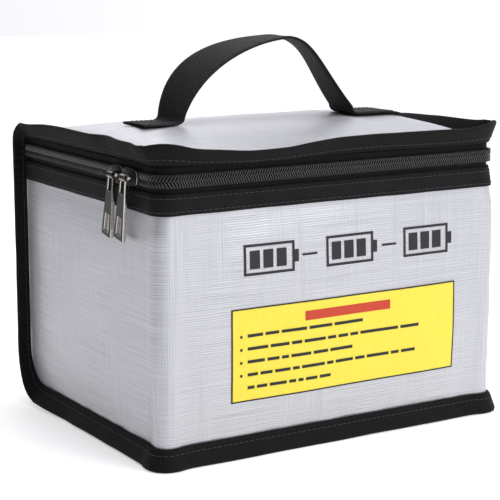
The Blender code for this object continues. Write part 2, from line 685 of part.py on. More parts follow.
# ---------------------------------------------------------------- printed label
def make_label():
    half_w, half_h = LABEL_SIZE[0] / 2, LABEL_SIZE[1] / 2
    x, z = LABEL_CENTRE
    low = (x - half_w, -HALF_D - GAP - FILM, z - half_h)
    high = (x + half_w, -HALF_D - GAP, z + half_h)
    new_object("front_label", box_mesh(low, high), "label_film")


def centre_on_origin():
    """Slides the whole bag along Y, so that the origin is under the middle of its bounding box."""
    graph = bpy.context.evaluated_depsgraph_get()
    reach = []
    for obj in BAG.objects:
        if obj.type == "MESH":
            solid = obj.evaluated_get(graph)
            reach += [(obj.matrix_world @ Vector(corner)).y for corner in solid.bound_box]
    for obj in [*BAG.objects, *CUTTERS.objects]:
        if obj.parent is None:
            obj.location.y -= (min(reach) + max(reach)) / 2


clear_scene()
BAG = new_collection("battery_bag")
CUTTERS = new_collection("cutters")
make_wall("wall_outer", 0, CLOTH, "silver_cloth", WALL_TOP)
make_floor("back_bottom_outer", 0, CLOTH, CLOTH + GAP, "silver_cloth", ZIP_Z - GAP / 2)
make_foam_boards()
make_wall("wall_lining", LINING_INSET, LINING, "lining_cloth", INNER_TOP)
make_floor(
    "back_bottom_lining", LINING_INSET, LINING, LINING_INSET + LINING + GAP, "lining_cloth", ZIP_Z - GAP / 2
)
make_bindings()
make_band_and_zip()
for which, nose in (("front", 1), ("rear", -1)):
    make_pull(f"pull_{which}", make_slider(f"slider_{which}", nose))
make_lid()
make_handle()
make_stitching()
make_label()
lid_pieces = [bpy.data.objects[name] for name in LID_PIECES]
hang_on_axis("lid_hinge_axis", (0, HALF_D + GAP, ZIP_Z), lid_pieces)
lean_z = lid_height(0, 0) + LEAN_HEIGHT
hang_on_axis("handle_lean_axis", (0, 0, lean_z), [bpy.data.objects["handle_arch"]])
bpy.context.view_layer.update()
centre_on_origin()
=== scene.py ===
"""A fire-resistant battery bag: silver-coated glass cloth, bound seams, a coil zip and a webbing handle."""

import json
from math import cos, exp, hypot, pi, radians, sin, sqrt

import bmesh
import bpy
from mathutils import Matrix, Vector, noise


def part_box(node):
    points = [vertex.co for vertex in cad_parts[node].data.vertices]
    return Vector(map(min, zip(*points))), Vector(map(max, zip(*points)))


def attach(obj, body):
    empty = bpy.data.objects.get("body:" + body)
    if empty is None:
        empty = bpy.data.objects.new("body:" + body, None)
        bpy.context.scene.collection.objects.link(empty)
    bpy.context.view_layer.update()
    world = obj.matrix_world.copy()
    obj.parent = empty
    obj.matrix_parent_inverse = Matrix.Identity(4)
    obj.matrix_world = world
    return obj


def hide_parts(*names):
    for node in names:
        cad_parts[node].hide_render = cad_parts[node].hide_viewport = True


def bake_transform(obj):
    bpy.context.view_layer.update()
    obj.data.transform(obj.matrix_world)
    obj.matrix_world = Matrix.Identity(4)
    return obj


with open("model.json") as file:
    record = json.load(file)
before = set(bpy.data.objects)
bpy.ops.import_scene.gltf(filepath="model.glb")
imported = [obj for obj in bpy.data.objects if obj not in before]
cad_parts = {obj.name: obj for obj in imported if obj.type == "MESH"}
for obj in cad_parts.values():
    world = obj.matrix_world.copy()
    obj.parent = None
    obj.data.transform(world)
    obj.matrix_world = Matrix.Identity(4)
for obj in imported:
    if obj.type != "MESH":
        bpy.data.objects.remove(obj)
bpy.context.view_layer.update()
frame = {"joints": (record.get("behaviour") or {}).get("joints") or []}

# ------------------------------------------------------------------------------------------------
# Camera, floor and light. A long lens a little under a metre away, on a pale floor, with a broad
# soft lamp overhead and a second one from the front right, as in a small product studio.
# ------------------------------------------------------------------------------------------------
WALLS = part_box("wall_outer")
LEFT, RIGHT = WALLS[0][0], WALLS[1][0]
FRONT, BACK = WALLS[0][1], WALLS[1][1]
MIDDLE_Y = (FRONT + BACK) / 2
VIEW_TURN = radians(-31.46)
VIEW_RISE = radians(10.57)
VIEW_FROM = 0.9274
VIEW_AIM = Vector((-0.0040, MIDDLE_Y, 0.0927))
LENS_MM = 114.8


def aimed(obj, place, aim):
    """Stands a lamp or camera at a place, looking at another."""
    obj.location = place
    obj.rotation_euler = (Vector(aim) - Vector(place)).to_track_quat("-Z", "Y").to_euler()
    bpy.context.scene.collection.objects.link(obj)
    return obj


def srgb(code, alpha=1.0):
    """The linear colour of an sRGB hex code."""
    parts = [int(code[i : i + 2], 16) / 255 for i in (1, 3, 5)]
    return (*[p / 12.92 if p <= 0.04045 else ((p + 0.055) / 1.055) ** 2.4 for p in parts], alpha)


toward_eye = Vector((sin(VIEW_TURN) * cos(VIEW_RISE), -cos(VIEW_TURN) * cos(VIEW_RISE), sin(VIEW_RISE)))
camera_data = bpy.data.cameras.new("camera")
camera_data.sensor_width = 36
camera_data.lens = LENS_MM
bpy.context.scene.camera = aimed(
    bpy.data.objects.new("camera", camera_data), VIEW_AIM + VIEW_FROM * toward_eye, VIEW_AIM
)

LAMPS = (
    ("lamp_overhead", (0.10, -0.15, 1.10), 0.7, 5.4),
    ("lamp_front_right", (0.45, -1.15, 0.55), 0.35, 3.5),
    ("lamp_back", (0.3, 1.1, 0.8), 0.6, 1.5),
)
for lamp_name, place, size, watts in LAMPS:
    lamp_data = bpy.data.lights.new(lamp_name, "AREA")
    lamp_data.size = size
    lamp_data.energy = watts
    aimed(bpy.data.objects.new(lamp_name, lamp_data), place, (0, 0, 0.08))


def add_node(tree, kind, inputs=None, **settings):
    """Adds a shader node: its settings by name, and its inputs by socket, each a value or a link."""
    made = tree.nodes.new("ShaderNode" + kind)
    for key, value in settings.items():
        setattr(made, key, value)
    for key, value in (inputs or {}).items():
        if isinstance(value, bpy.types.NodeSocket):
            tree.links.new(value, made.inputs[key])
        else:
            made.inputs[key].default_value = value
    return made


# The room is white behind and to the right of the bag, and greyer to its left.
world = bpy.data.worlds.new("studio")
world.use_nodes = True
bpy.context.scene.world = world
place = add_node(world.node_tree, "TexCoord")
split = add_node(world.node_tree, "SeparateXYZ", {0: place.outputs["Generated"]})
glow = add_node(world.node_tree, "MapRange", {0: split.outputs[0], 1: -0.9, 2: 0.5, 3: 0.05, 4: 1.06})
background = world.node_tree.nodes["Background"]
background.inputs["Color"].default_value = srgb("#FBFBFF")
world.node_tree.links.new(glow.outputs[0], background.inputs["Strength"])
bpy.context.scene.view_settings.view_transform = "Standard"

bpy.ops.mesh.primitive_plane_add(size=8, location=(0, 0, -0.0002))
floor = bpy.context.object
floor.name = "studio_floor"


def new_material(name, colour, roughness, metallic=0.0, **more):
    """A Principled material with uniform values on its own sockets. Returns it, its nodes and its shader."""
    made = bpy.data.materials.new(name)
    made.use_nodes = True
    shader = made.node_tree.nodes["Principled BSDF"]
    shader.inputs["Base Color"].default_value = srgb(colour)
    shader.inputs["Roughness"].default_value = roughness
    shader.inputs["Metallic"].default_value = metallic
    for key, value in more.items():
        shader.inputs[key.replace("_", " ")].default_value = value
    return made, made.node_tree, shader


def mix_colours(tree, share, dark, light):
    """A colour between two hex codes."""
    mixed = add_node(tree, "Mix", {0: share, 6: srgb(dark), 7: srgb(light)}, data_type="RGBA")
    return mixed.outputs[2]


def bump(tree, shader, height, depth_mm, strength=1.0):
    """Raises the surface by a height of 0 to 1, over a depth in millimetres."""
    raised = add_node(tree, "Bump", {"Height": height, "Distance": depth_mm / 1000, "Strength": strength})
    tree.links.new(raised.outputs[0], shader.inputs["Normal"])


paper, tree, shader = new_material("studio_paper", "#F4F4F4", 0.9, Emission_Strength=0.42)
shader.inputs["Emission Color"].default_value = srgb("#FFFFFF")  # lit from below, as on a light table
grain = add_node(tree, "TexNoise", {"Scale": 300.0, "Detail": 2.0})
bump(tree, shader, grain.outputs[0], 0.05)
floor.data.materials.append(paper)

# ------------------------------------------------------------------------------------------------
# Walls. One strip of glass cloth with a silver coating goes round the left side, the front and the
# right side. It is soft-folded at the front corners, and foam behind it makes each panel swell a little.
# ------------------------------------------------------------------------------------------------
CORNER = 0.010  # radius of the folds at the front corners
WALL_FOOT = WALLS[0][2]
WALL_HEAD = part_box("lower_band")[1][2] - 0.001
REAR_CURVE = 0.020  # radius of the wall's lower rear corner, where the bottom turns up into the back
CLOTH = 0.0008
PANEL_SWELL = 0.0026
CORNER_PUSH = 0.0038
CRISP_FROM, CRISP_OVER = 0.144, 0.022  # the height where the fold starts to sharpen, and over how much
CRISP_WIDTH = 0.0065
SIDE_RUN = BACK - FRONT - CORNER
CORNER_RUN = CORNER * pi / 2
FRONT_RUN = RIGHT - LEFT - 2 * CORNER
ROUND_RUN = 2 * SIDE_RUN + 2 * CORNER_RUN + FRONT_RUN  # from rear edge to rear edge, round the front
LEFT_TURN = SIDE_RUN + CORNER_RUN / 2
RIGHT_TURN = ROUND_RUN - LEFT_TURN


def round_bag(run):
    """The place and outward direction on the walls' plan, `run` metres from the left wall's rear edge."""
    if run <= SIDE_RUN:
        return Vector((LEFT, BACK - run, 0)), Vector((-1, 0, 0))
    run -= SIDE_RUN
    if run <= CORNER_RUN:
        out = Vector((-cos(run / CORNER), -sin(run / CORNER), 0))
        return Vector((LEFT + CORNER, FRONT + CORNER, 0)) + CORNER * out, out
    run -= CORNER_RUN
    if run <= FRONT_RUN:
        return Vector((LEFT + CORNER + run, FRONT, 0)), Vector((0, -1, 0))
    run -= FRONT_RUN
    if run <= CORNER_RUN:
        out = Vector((sin(run / CORNER), -cos(run / CORNER), 0))
        return Vector((RIGHT - CORNER, FRONT + CORNER, 0)) + CORNER * out, out
    run -= CORNER_RUN
    return Vector((RIGHT, FRONT + CORNER + run, 0)), Vector((1, 0, 0))


def arch(share, power):
    """0 at both ends of a span and 1 over most of its middle."""
    return max(0.0, 1 - abs(2 * share - 1) ** power)


def ripple(x, y, z, size):
    """Smooth noise of about -1 to 1 with features of a given size in metres."""
    return noise.noise(Vector((x, y, z)) / size)


def panel_share(run):
    """How far along its own panel a point on the wall strip is, from 0 to 1."""
    turn = SIDE_RUN + CORNER_RUN / 2
    if run < turn:
        return run / turn
    run -= turn
    across = FRONT_RUN + CORNER_RUN
    if run < across:
        return run / across
    return min((run - across) / turn, 1.0)


def wall_foot(run):
    """The height of the wall's lower edge, which rises round the lower rear corners."""
    depth = BACK - round_bag(run)[0].y
    if depth >= REAR_CURVE:
        return WALL_FOOT
    return WALL_FOOT + REAR_CURVE - sqrt(max(REAR_CURVE**2 - (REAR_CURVE - depth) ** 2, 0))


def hump(x, middle, width):
    """A smooth bump of height 1."""
    return exp(-(((x - middle) / width) ** 2))


def corner_push(run, z):
    """The folds at the front corners are soft below the zip and crisper, so further out, towards the floor."""
    down = min(max((CRISP_FROM - z) / CRISP_OVER, 0.0), 1.0)
    return CORNER_PUSH * down * (hump(run, LEFT_TURN, CRISP_WIDTH) + hump(run, RIGHT_TURN, CRISP_WIDTH))


def wall_at(run, z, out=0.0):
    """A point `out` metres off the wall cloth."""
    place, outward = round_bag(run)
    out += corner_push(run, z)
    share = panel_share(run)
    rise = min(max((z - WALL_FOOT) / (WALL_HEAD - 0.012 - WALL_FOOT), 0.0), 1.0)
    swell = PANEL_SWELL * arch(share, 4) * arch(rise, 3.5)
    near_foot = exp(-(z - wall_foot(run)) / 0.009)
    pucker = 0.00055 * near_foot * ripple(run, 0.3, z * 0.2, 0.009)
    waves = (0.0008 * ripple(run, 0.0, z, 0.045) + 0.00022 * ripple(run, 0.7, z, 0.014)) * arch(rise, 5)
    point = place + outward * (swell + pucker + waves + out)
    point.z = z
    return point


def lengths(points):
    """The distance of each point from the first, along the line through them."""
    total, found = 0.0, [0.0]
    for a, b in zip(points, points[1:]):
        total += (Vector(b) - Vector(a)).length
        found.append(total)
    return found


def new_piece(name, edit, *materials):
    """A smooth-shaded object from a bmesh, in the scene."""
    mesh = bpy.data.meshes.new(name)
    edit.to_mesh(mesh)
    edit.free()
    made = bpy.data.objects.new(name, mesh)
    bpy.context.scene.collection.objects.link(made)
    for material in materials:
        mesh.materials.append(material)
    mesh.shade_smooth()
    return made


def skin(name, rows, material, closed=False):
    """A surface through rows of points, with UVs in metres. Closed joins rows into a tube and caps its ends."""
    edit = bmesh.new()
    uv = edit.loops.layers.uv.new("cloth")
    verts = [[edit.verts.new(point) for point in row] for row in rows]
    middle = rows[len(rows) // 2]
    along = lengths([*middle, middle[0]] if closed else middle)
    down = lengths([row[len(row) // 2] for row in rows])
    for i in range(len(rows) - 1):
        for j in range(len(along) - 1):
            k = (j + 1) % len(middle)
            face = edit.faces.new((verts[i][j], verts[i][k], verts[i + 1][k], verts[i + 1][j]))
            for loop, (a, b) in zip(face.loops, ((j, i), (j + 1, i), (j + 1, i + 1), (j, i + 1))):
                loop[uv].uv = (along[a], down[b])
    if closed:
        edit.faces.new(verts[0])
        edit.faces.new(verts[-1])
    bmesh.ops.recalc_face_normals(edit, faces=edit.faces)
    return new_piece(name, edit, material)


def thicken(piece, thickness, offset=-1):
    """Gives a surface its thickness, inwards unless offset says otherwise."""
    modifier = piece.modifiers.new("thickness", "SOLIDIFY")
    modifier.thickness = thickness
    modifier.offset = offset
    return piece


MESH_STEP = 0.003


def spread(count, first, last):
    """Evenly spaced values with both ends."""
    return [first + (last - first) * i / count for i in range(count + 1)]


def maths(tree, operation, *values):
    """The result of one arithmetic step on numbers or sockets."""
    return add_node(tree, "Math", dict(enumerate(values)), operation=operation).outputs[0]


def woven_cloth(name, dark, light, roughness, metallic, warp_mm, weft_mm, depth_mm, **more):
    """A plain weave in UV metres: ribs along both threads, each strongest in its own patches, and slubs."""
    made, tree, shader = new_material(name, light, roughness, metallic, **more)
    place = add_node(tree, "UVMap", uv_map="cloth")
    bend = add_node(tree, "TexNoise", {"Vector": place.outputs[0], "Scale": 110.0, "Detail": 1.0})
    drift = add_node(tree, "VectorMath", {0: bend.outputs["Color"], 1: (0.0009, 0.0009, 0.0)}, operation="MULTIPLY")
    moved = add_node(tree, "VectorMath", {0: place.outputs[0], 1: drift.outputs[0]}, operation="ADD")
    split = add_node(tree, "SeparateXYZ", {0: moved.outputs[0]})
    ribs = []
    for axis, pitch in ((0, warp_mm), (1, weft_mm)):
        wave = maths(tree, "SINE", maths(tree, "MULTIPLY", split.outputs[axis], 2 * pi * 1000 / pitch))
        ribs.append(add_node(tree, "MapRange", {0: wave, 1: -1.0}).outputs[0])
    stretch = add_node(tree, "Mapping", {"Vector": place.outputs[0], "Scale": (70.0, 12.0, 1.0)})
    zones = add_node(tree, "TexNoise", {"Vector": stretch.outputs[0], "Scale": 1.0, "Detail": 2.0})
    which = add_node(tree, "MapRange", {0: zones.outputs[0], 1: 0.45, 2: 0.68, 3: 0.10, 4: 0.85})
    weave = add_node(tree, "Mix", {0: which.outputs[0], 2: ribs[1], 3: ribs[0]}, data_type="FLOAT")
    slubs = []
    for stretch in ((1100.0, 16.0, 1.0), (16.0, 1100.0, 1.0)):
        line = add_node(tree, "Mapping", {"Vector": place.outputs[0], "Scale": stretch})
        slubs.append(add_node(tree, "TexNoise", {"Vector": line.outputs[0], "Scale": 1.0, "Detail": 1.0}))
    pair = {0: which.outputs[0], 2: slubs[1].outputs[0], 3: slubs[0].outputs[0]}
    slub = add_node(tree, "Mix", pair, data_type="FLOAT")
    both = maths(tree, "MULTIPLY_ADD", weave.outputs[0], 0.35, slub.outputs[0])
    shade = add_node(tree, "MapRange", {0: both, 1: 0.05, 2: 1.25})
    tree.links.new(mix_colours(tree, shade.outputs[0], dark, light), shader.inputs["Base Color"])
    bump(tree, shader, maths(tree, "MULTIPLY_ADD", slub.outputs[0], 0.5, weave.outputs[0]), depth_mm)
    return made


# Aluminium-coated glass cloth: a fine plain weave under a thin metal coat, so it shines softly and streaks along
# its threads. The real threads are perhaps 0.5 mm apart and are drawn a little coarser, so that they show.
silver_cloth = woven_cloth("aluminised_glass_cloth", "#96979C", "#D4D4DA", 0.40, 0.40, 1.5, 1.3, 0.06)

rows = []
for rise in spread(64, 0.0, 1.0):
    row = []
    for run in spread(300, 0.0, ROUND_RUN):
        foot = wall_foot(run)
        row.append(wall_at(run, foot + (WALL_HEAD - foot) * rise))
    rows.append(row)
wall_cloth = thicken(skin("wall_cloth", rows, silver_cloth), CLOTH)
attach(wall_cloth, "bag_body")
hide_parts("wall_outer")

# ------------------------------------------------------------------------------------------------
# Bottom and back. The second strip of the same cloth runs under the bag and up the back, with an easy
# curve between them. At its upper end the cloth is the lid's hinge.
# ------------------------------------------------------------------------------------------------
FLOOR_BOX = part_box("back_bottom_outer")
STRIP_FRONT = FLOOR_BOX[0][1]
STRIP_LEFT, STRIP_RIGHT = FLOOR_BOX[0][0], FLOOR_BOX[1][0]
HINGE_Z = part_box("back_bottom_outer")[1][2]
HINGE_REACH = 0.006  # half the height of the band round the hinge line; the back's cloth, the lid's cloth and the rear edgings end at its lower edge
FLAT_RUN = BACK - REAR_CURVE - STRIP_FRONT
CURVE_RUN = REAR_CURVE * pi / 2
BACK_RUN = HINGE_Z - HINGE_REACH - WALL_FOOT - REAR_CURVE


def under_and_up(run, x, out=0.0):
    """A point on the bottom and back, `run` metres from the bottom's front edge and `out` metres off it."""
    across = (x - STRIP_LEFT) / (STRIP_RIGHT - STRIP_LEFT)
    if run <= FLAT_RUN:
        swell = 0.0012 * arch(run / FLAT_RUN, 4) * arch(across, 6)
        return Vector((x, STRIP_FRONT + run, WALL_FOOT - swell - out))
    run -= FLAT_RUN
    if run <= CURVE_RUN:
        turn = run / REAR_CURVE
        radius = REAR_CURVE + out
        return Vector((x, BACK - REAR_CURVE + radius * sin(turn), WALL_FOOT + REAR_CURVE - radius * cos(turn)))
    run -= CURVE_RUN
    z = WALL_FOOT + REAR_CURVE + run
    share = run / BACK_RUN
    swell = 0.0022 * arch(across, 6) * arch(share, 3)
    waves = (0.0007 * ripple(x, 3.0, z, 0.05) + 0.0002 * ripple(x, 3.7, z, 0.015)) * arch(share, 4)
    return Vector((x, BACK + swell + waves + out, z))


rows = []
for run in spread(170, 0.0, FLAT_RUN + CURVE_RUN + BACK_RUN):
    rows.append([under_and_up(run, x) for x in spread(90, STRIP_LEFT, STRIP_RIGHT)])
back_cloth = thicken(skin("back_cloth", rows, silver_cloth), CLOTH)
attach(back_cloth, "bag_body")
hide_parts("back_bottom_outer")

# ------------------------------------------------------------------------------------------------
# Lid. The back's cloth runs on over the fold and forward as the lid. Foam makes it a low pillow, and the
# handle's two sewn feet pull it into shallow creases.
# ------------------------------------------------------------------------------------------------
LID_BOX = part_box("lid_outer")
LID_CROWN_Z = LID_BOX[1][2]
LID_EDGE_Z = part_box("zip_tape_upper")[1][2] + 0.0015
LID_FRONT = LID_BOX[0][1]
REAR_DROP = 0.85  # share of the crown that is lost at the rear fold
FOLD = 0.0065  # radius of the fold between the lid and the back
FEET = {side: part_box(f"handle_foot_{side}") for side in ("left", "right")}
STRAP_Y = (FEET["left"][0][1] + FEET["left"][1][1]) / 2
LID_FLAT_RUN = BACK - FOLD - LID_FRONT
LID_FOLD_RUN = FOLD * pi / 2
LID_DROP_RUN = LID_EDGE_Z - FOLD - HINGE_Z + HINGE_REACH


def lid_top(x, y):
    """The height of the lid's outer face."""
    across = 1 - abs(x / RIGHT) ** 12
    ahead = (y - MIDDLE_Y) / (BACK - MIDDLE_Y)
    along = 1 - (REAR_DROP if ahead > 0 else 1.0) * abs(ahead) ** 2.2
    crown = (LID_CROWN_Z - LID_EDGE_Z) * max(across, 0) * max(along, 0)
    creases = 0.0
    for foot_x in (FEET["left"][1][0] - 0.004, FEET["right"][0][0] + 0.004):
        far_x, far_y = x - foot_x, y - STRAP_Y
        away = hypot(far_x, far_y)
        spokes = sin(5 * (far_x * far_y) / (away * away + 1e-5) + 40 * away)
        creases += 0.0005 * spokes * exp(-(((away - 0.024) / 0.016) ** 2))
    waves = 0.0009 * ripple(x, y, 5.0, 0.05) + 0.0003 * ripple(x, y, 7.0, 0.018)
    return LID_EDGE_Z + crown + (creases + waves) * max(across, 0) * max(along, 0)


def over_and_down(run, x, out=0.0):
    """A point on the lid and down its rear fold, `run` metres from the lid's front edge."""
    if run <= LID_FLAT_RUN:
        y = LID_FRONT + run
        return Vector((x, y, lid_top(x, y) + out))
    run -= LID_FLAT_RUN
    crown = lid_top(x, BACK - FOLD) - LID_EDGE_Z
    if run <= LID_FOLD_RUN:
        turn = run / FOLD
        height = (FOLD + out) * cos(turn) - FOLD
        y = BACK - FOLD + (FOLD + out) * sin(turn)
    else:
        height = LID_FOLD_RUN - run - FOLD
        y = BACK + out
    share = (LID_EDGE_Z + height - HINGE_Z) / (LID_EDGE_Z - HINGE_Z)
    return Vector((x, y, LID_EDGE_Z + height + crown * max(share, 0)))


def lid_half(run, inset):
    """Half the lid's width, `run` metres from its front edge, which is less at the rounded front corners."""
    short = max(CORNER - (LID_FRONT - FRONT) - run, 0.0)
    return RIGHT - inset - CORNER + sqrt(CORNER**2 - short**2)


rows = []
for run in spread(190, 0.0, LID_FLAT_RUN + LID_FOLD_RUN + LID_DROP_RUN):
    rows.append([over_and_down(run, lid_half(run, 0.0012) * share) for share in spread(220, -1.0, 1.0)])
lid_cloth = thicken(skin("lid_cloth", rows, silver_cloth), CLOTH)
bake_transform(lid_cloth)
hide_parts("lid_outer")

# ------------------------------------------------------------------------------------------------
# Edging. The seam between the two strips of cloth is wrapped in folded polyester tape and sewn through.
# It stands out as a soft fin, and the bag stands on the fin below its bottom seam.
# ------------------------------------------------------------------------------------------------
EDGING_WIDTH = 0.0102
EDGING_THICK = 0.0027
EDGING_LEAN = radians(20)
SEAM_OUT = 0.0004  # from the wall to the root of the fin
REAR_LEAN = radians(90)  # at the rear the fins stand out sideways
REAR_NARROW = 0.78  # share of their width that the fins keep at the rear edges
LEFT_END_LEAN, LEFT_TWIST = radians(42), 0.040  # lean just ahead of the rear corner, and how far it carries on
RIGHT_END_LEAN, RIGHT_TWIST = radians(64), 0.150


def rounded_ribs(tree, along, pitch_mm):
    """Ribs across a direction: 1 on top of each and 0 between them, from a coordinate in metres."""
    return maths(tree, "ABSOLUTE", maths(tree, "SINE", maths(tree, "MULTIPLY", along, pi * 1000 / pitch_mm)))


def tape_material(name, dark, light, rib_mm, depth_mm, across=0):
    """Ribbed polyester tape: matt black, with fine ribs across it that catch a little light, and a slight lint."""
    made, tree, shader = new_material(name, light, 0.8, Specular_IOR_Level=0.2, Sheen_Weight=0.02)
    shader.inputs["Sheen Roughness"].default_value = 0.4
    place = add_node(tree, "UVMap", uv_map="cloth")
    split = add_node(tree, "SeparateXYZ", {0: place.outputs[0]})
    rib = rounded_ribs(tree, split.outputs[1 - across], rib_mm)
    lint = add_node(tree, "TexNoise", {"Vector": place.outputs[0], "Scale": 1400.0, "Detail": 2.0})
    patch = add_node(tree, "TexNoise", {"Vector": place.outputs[0], "Scale": 90.0, "Detail": 2.0})
    shade = maths(tree, "MULTIPLY", maths(tree, "MULTIPLY", rib, lint.outputs[0]), patch.outputs[0])
    tree.links.new(mix_colours(tree, shade, dark, light), shader.inputs["Base Color"])
    bump(tree, shader, maths(tree, "MULTIPLY_ADD", lint.outputs[0], 0.5, rib), depth_mm)
    return made


edging_tape = tape_material("ribbed_polyester_edging", "#040405", "#1D1D1F", 1.0, 0.14)


def seam_path(level, fold, up, narrow, shape):
    """Roots of a bound seam, every few millimetres: up one rear edge, round three sides and down the other.
    Each comes with the direction it faces, its lean from upright, and its share of the fin's full width."""
    sides = []
    start = HINGE_Z - HINGE_REACH if up > 0 else HINGE_Z - HINGE_REACH + 0.0004
    plane = BACK - EDGING_THICK / 2
    turn_z = level - up * fold
    for side, end_lean in ((-1, LEFT_END_LEAN), (1, RIGHT_END_LEAN)):
        steps = max(int(abs(turn_z - start) / MESH_STEP), 2)
        line = [(plane, z, REAR_LEAN, narrow) for z in spread(steps, start, turn_z)[:-1]]
        for angle in spread(12, 0.0, pi / 2):
            ease = (angle / (pi / 2)) ** 2
            lean = REAR_LEAN + (end_lean - REAR_LEAN) * ease
            y, z = plane - fold + fold * cos(angle), turn_z + up * fold * sin(angle)
            line.append((y, z, lean, narrow + (1 - narrow) * ease))
        facing = Vector((side, 0, 0))
        sides.append([(Vector((side * (RIGHT + SEAM_OUT), y, z)), facing, lean, share) for y, z, lean, share in line])
    begin = BACK - sides[0][-1][0].y
    middle = []
    for run in spread(260, begin, ROUND_RUN - begin)[1:-1]:
        place, outward = round_bag(run)
        on_left = run < ROUND_RUN / 2
        end_lean, twist = (LEFT_END_LEAN, LEFT_TWIST) if on_left else (RIGHT_END_LEAN, RIGHT_TWIST)
        ease = min((min(run, ROUND_RUN - run) - begin) / twist, 1.0)
        lean = EDGING_LEAN + (end_lean - EDGING_LEAN) * (0.5 + 0.5 * cos(pi * ease))
        lean, drop, wide = shape(place, run, lean)
        out = SEAM_OUT + corner_push(run, level)
        middle.append((place + outward * out + Vector((0, 0, level - up * drop)), outward, lean, wide))
    return sides[0] + middle + sides[1][::-1]


def fin_rings(path, up, width, thick):
    """Rounded sections of a folded tape along a seam path."""
    rings, frames = [], []
    for i, (root, outward, lean, share_of_width) in enumerate(path):
        before, after = path[max(i - 1, 0)][0], path[min(i + 1, len(path) - 1)][0]
        along = (after - before).normalized()
        fin = outward * sin(lean) + Vector((0, 0, up)) * cos(lean)
        fin = (fin - along * fin.dot(along)).normalized()
        side = along.cross(fin).normalized()
        puff = 1 + 0.10 * ripple(root.x, root.y, root.z + 2, 0.02)
        sway = 0.0005 * ripple(root.x, root.y, root.z + 4, 0.018)
        reach = width * share_of_width * (1 + 0.03 * ripple(root.x, root.y, root.z + 6, 0.03))
        ring = []
        for k in range(16):
            angle = 2 * pi * k / 16
            far, off = cos(angle), sin(angle)
            far = (abs(far) ** 0.4) * (1 if far > 0 else -1)
            off = (abs(off) ** 0.6) * (1 if off > 0 else -1)
            share = 0.5 + 0.5 * far
            bulk = thick * puff * (0.86 + 0.14 * share)
            ring.append(root + fin * reach * share + side * (off * bulk / 2 + sway * share))
        rings.append(ring)
        frames.append((root, fin, side, reach, thick * puff))
    return rings, frames


def lid_edge_shape(place, run, lean):
    """The lid's edging leans out where the front sags, and stands taller at the front corners."""
    left, right = hump(run, LEFT_TURN + 0.002, 0.009), hump(run, RIGHT_TURN, 0.012)
    drop, wide = 0.0, 1 + 0.12 * left + 0.20 * right
    if place.y < FRONT + CORNER:
        sag, full = hump(place.x, -0.050, 0.045), hump(place.x, 0.080, 0.050)
        lean += radians(30) * sag + radians(10) * full
        drop = 0.0014 * sag + 0.0012 * full
        wide += 0.08 * full
    lean += radians(12) * hump(run, LEFT_TURN - 0.011, 0.008) - radians(14) * hump(run, SIDE_RUN * 0.70, 0.012)
    return lean * (1 - 0.7 * left) * (1 - 0.3 * right), drop, wide


def plain_edge(place, run, lean):
    """The body's edging keeps its lean and width all the way."""
    return lean, 0.0, 1.0


def join_rings(edit, rings):
    """Adds the faces between each ring of vertices and the next."""
    for first, second in zip(rings, rings[1:]):
        for k in range(len(first)):
            n = (k + 1) % len(first)
            edit.faces.new((first[k], first[n], second[n], second[k]))


def add_tube(edit, points, radius, sides=6):
    """Adds a round tube along points to a bmesh, with closed ends."""
    rings, side = [], None
    for i, point in enumerate(points):
        along = (points[min(i + 1, len(points) - 1)] - points[max(i - 1, 0)]).normalized()
        if side is None:
            side = along.orthogonal().normalized()
        side = (side - along * side.dot(along)).normalized()
        other = along.cross(side)
        ring = []
        for k in range(sides):
            angle = 2 * pi * k / sides
            ring.append(edit.verts.new(point + radius * (cos(angle) * side + sin(angle) * other)))
        rings.append(ring)
    join_rings(edit, rings)
    edit.faces.new(rings[0][::-1])
    edit.faces.new(rings[-1])


def add_stitches(edit, line, normals, length, gap, radius):
    """Adds a row of machine stitches to a bmesh: each dips into the cloth at its ends and rises between them."""
    marks = lengths(line)
    start = gap
    while start + length < marks[-1]:
        points = []
        for share in (0.0, 0.2, 0.5, 0.8, 1.0):
            wanted = start + length * share
            i = next(n for n, mark in enumerate(marks) if mark >= wanted)
            part = (wanted - marks[i - 1]) / (marks[i] - marks[i - 1])
            rise = radius * (0.9 * sin(pi * share) ** 0.5 - 0.7 if 0 < share < 1 else -1.2)
            points.append(line[i - 1].lerp(line[i], part) + normals[i] * rise)
        add_tube(edit, points, radius, 5)
        start += length + gap


sewing_thread, tree, shader = new_material("bonded_polyester_thread", "#2A2A2D", 0.55)
twist = add_node(tree, "TexCoord")
strand = add_node(tree, "TexNoise", {"Vector": twist.outputs["Object"], "Scale": 2500.0, "Detail": 1.0})
tree.links.new(mix_colours(tree, strand.outputs[0], "#0F0F11", "#333336"), shader.inputs["Base Color"])
bump(tree, shader, strand.outputs[0], 0.05)

STITCH = 0.0026
STITCH_GAP = 0.0007
THREAD = 0.00024
for name, node, level, fold, up, width, shape in (
    ("body_edging", "body_binding", WALL_FOOT + 0.0012, REAR_CURVE, -1, EDGING_WIDTH + 0.0018, plain_edge),
    ("lid_edging", "lid_binding", LID_EDGE_Z - 0.0008, FOLD, 1, EDGING_WIDTH, lid_edge_shape),
):
    path = seam_path(level, fold, up, REAR_NARROW * EDGING_WIDTH / width, shape)
    rings, frames = fin_rings(path, up, width, EDGING_THICK)
    if up < 0:
        rings = [[Vector((p.x, p.y, max(p.z, 0.0))) for p in ring] for ring in rings]
    edging = skin(name, rings, edging_tape, closed=True)
    edit = bmesh.new()
    for face in (-1, 1):
        line = [root + fin * reach * 0.30 + side * face * thick * 0.47 for root, fin, side, reach, thick in frames]
        add_stitches(edit, line, [face * place[2] for place in frames], STITCH, STITCH_GAP, THREAD)
    thread = new_piece(name + "_stitches", edit, sewing_thread)
    for piece in (edging, thread):
        if up > 0:
            low, high = (0, BACK, HINGE_Z - HINGE_REACH), (0, BACK, HINGE_Z + HINGE_REACH)
            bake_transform(piece)
        else:
            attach(piece, "bag_body")
    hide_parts(node)

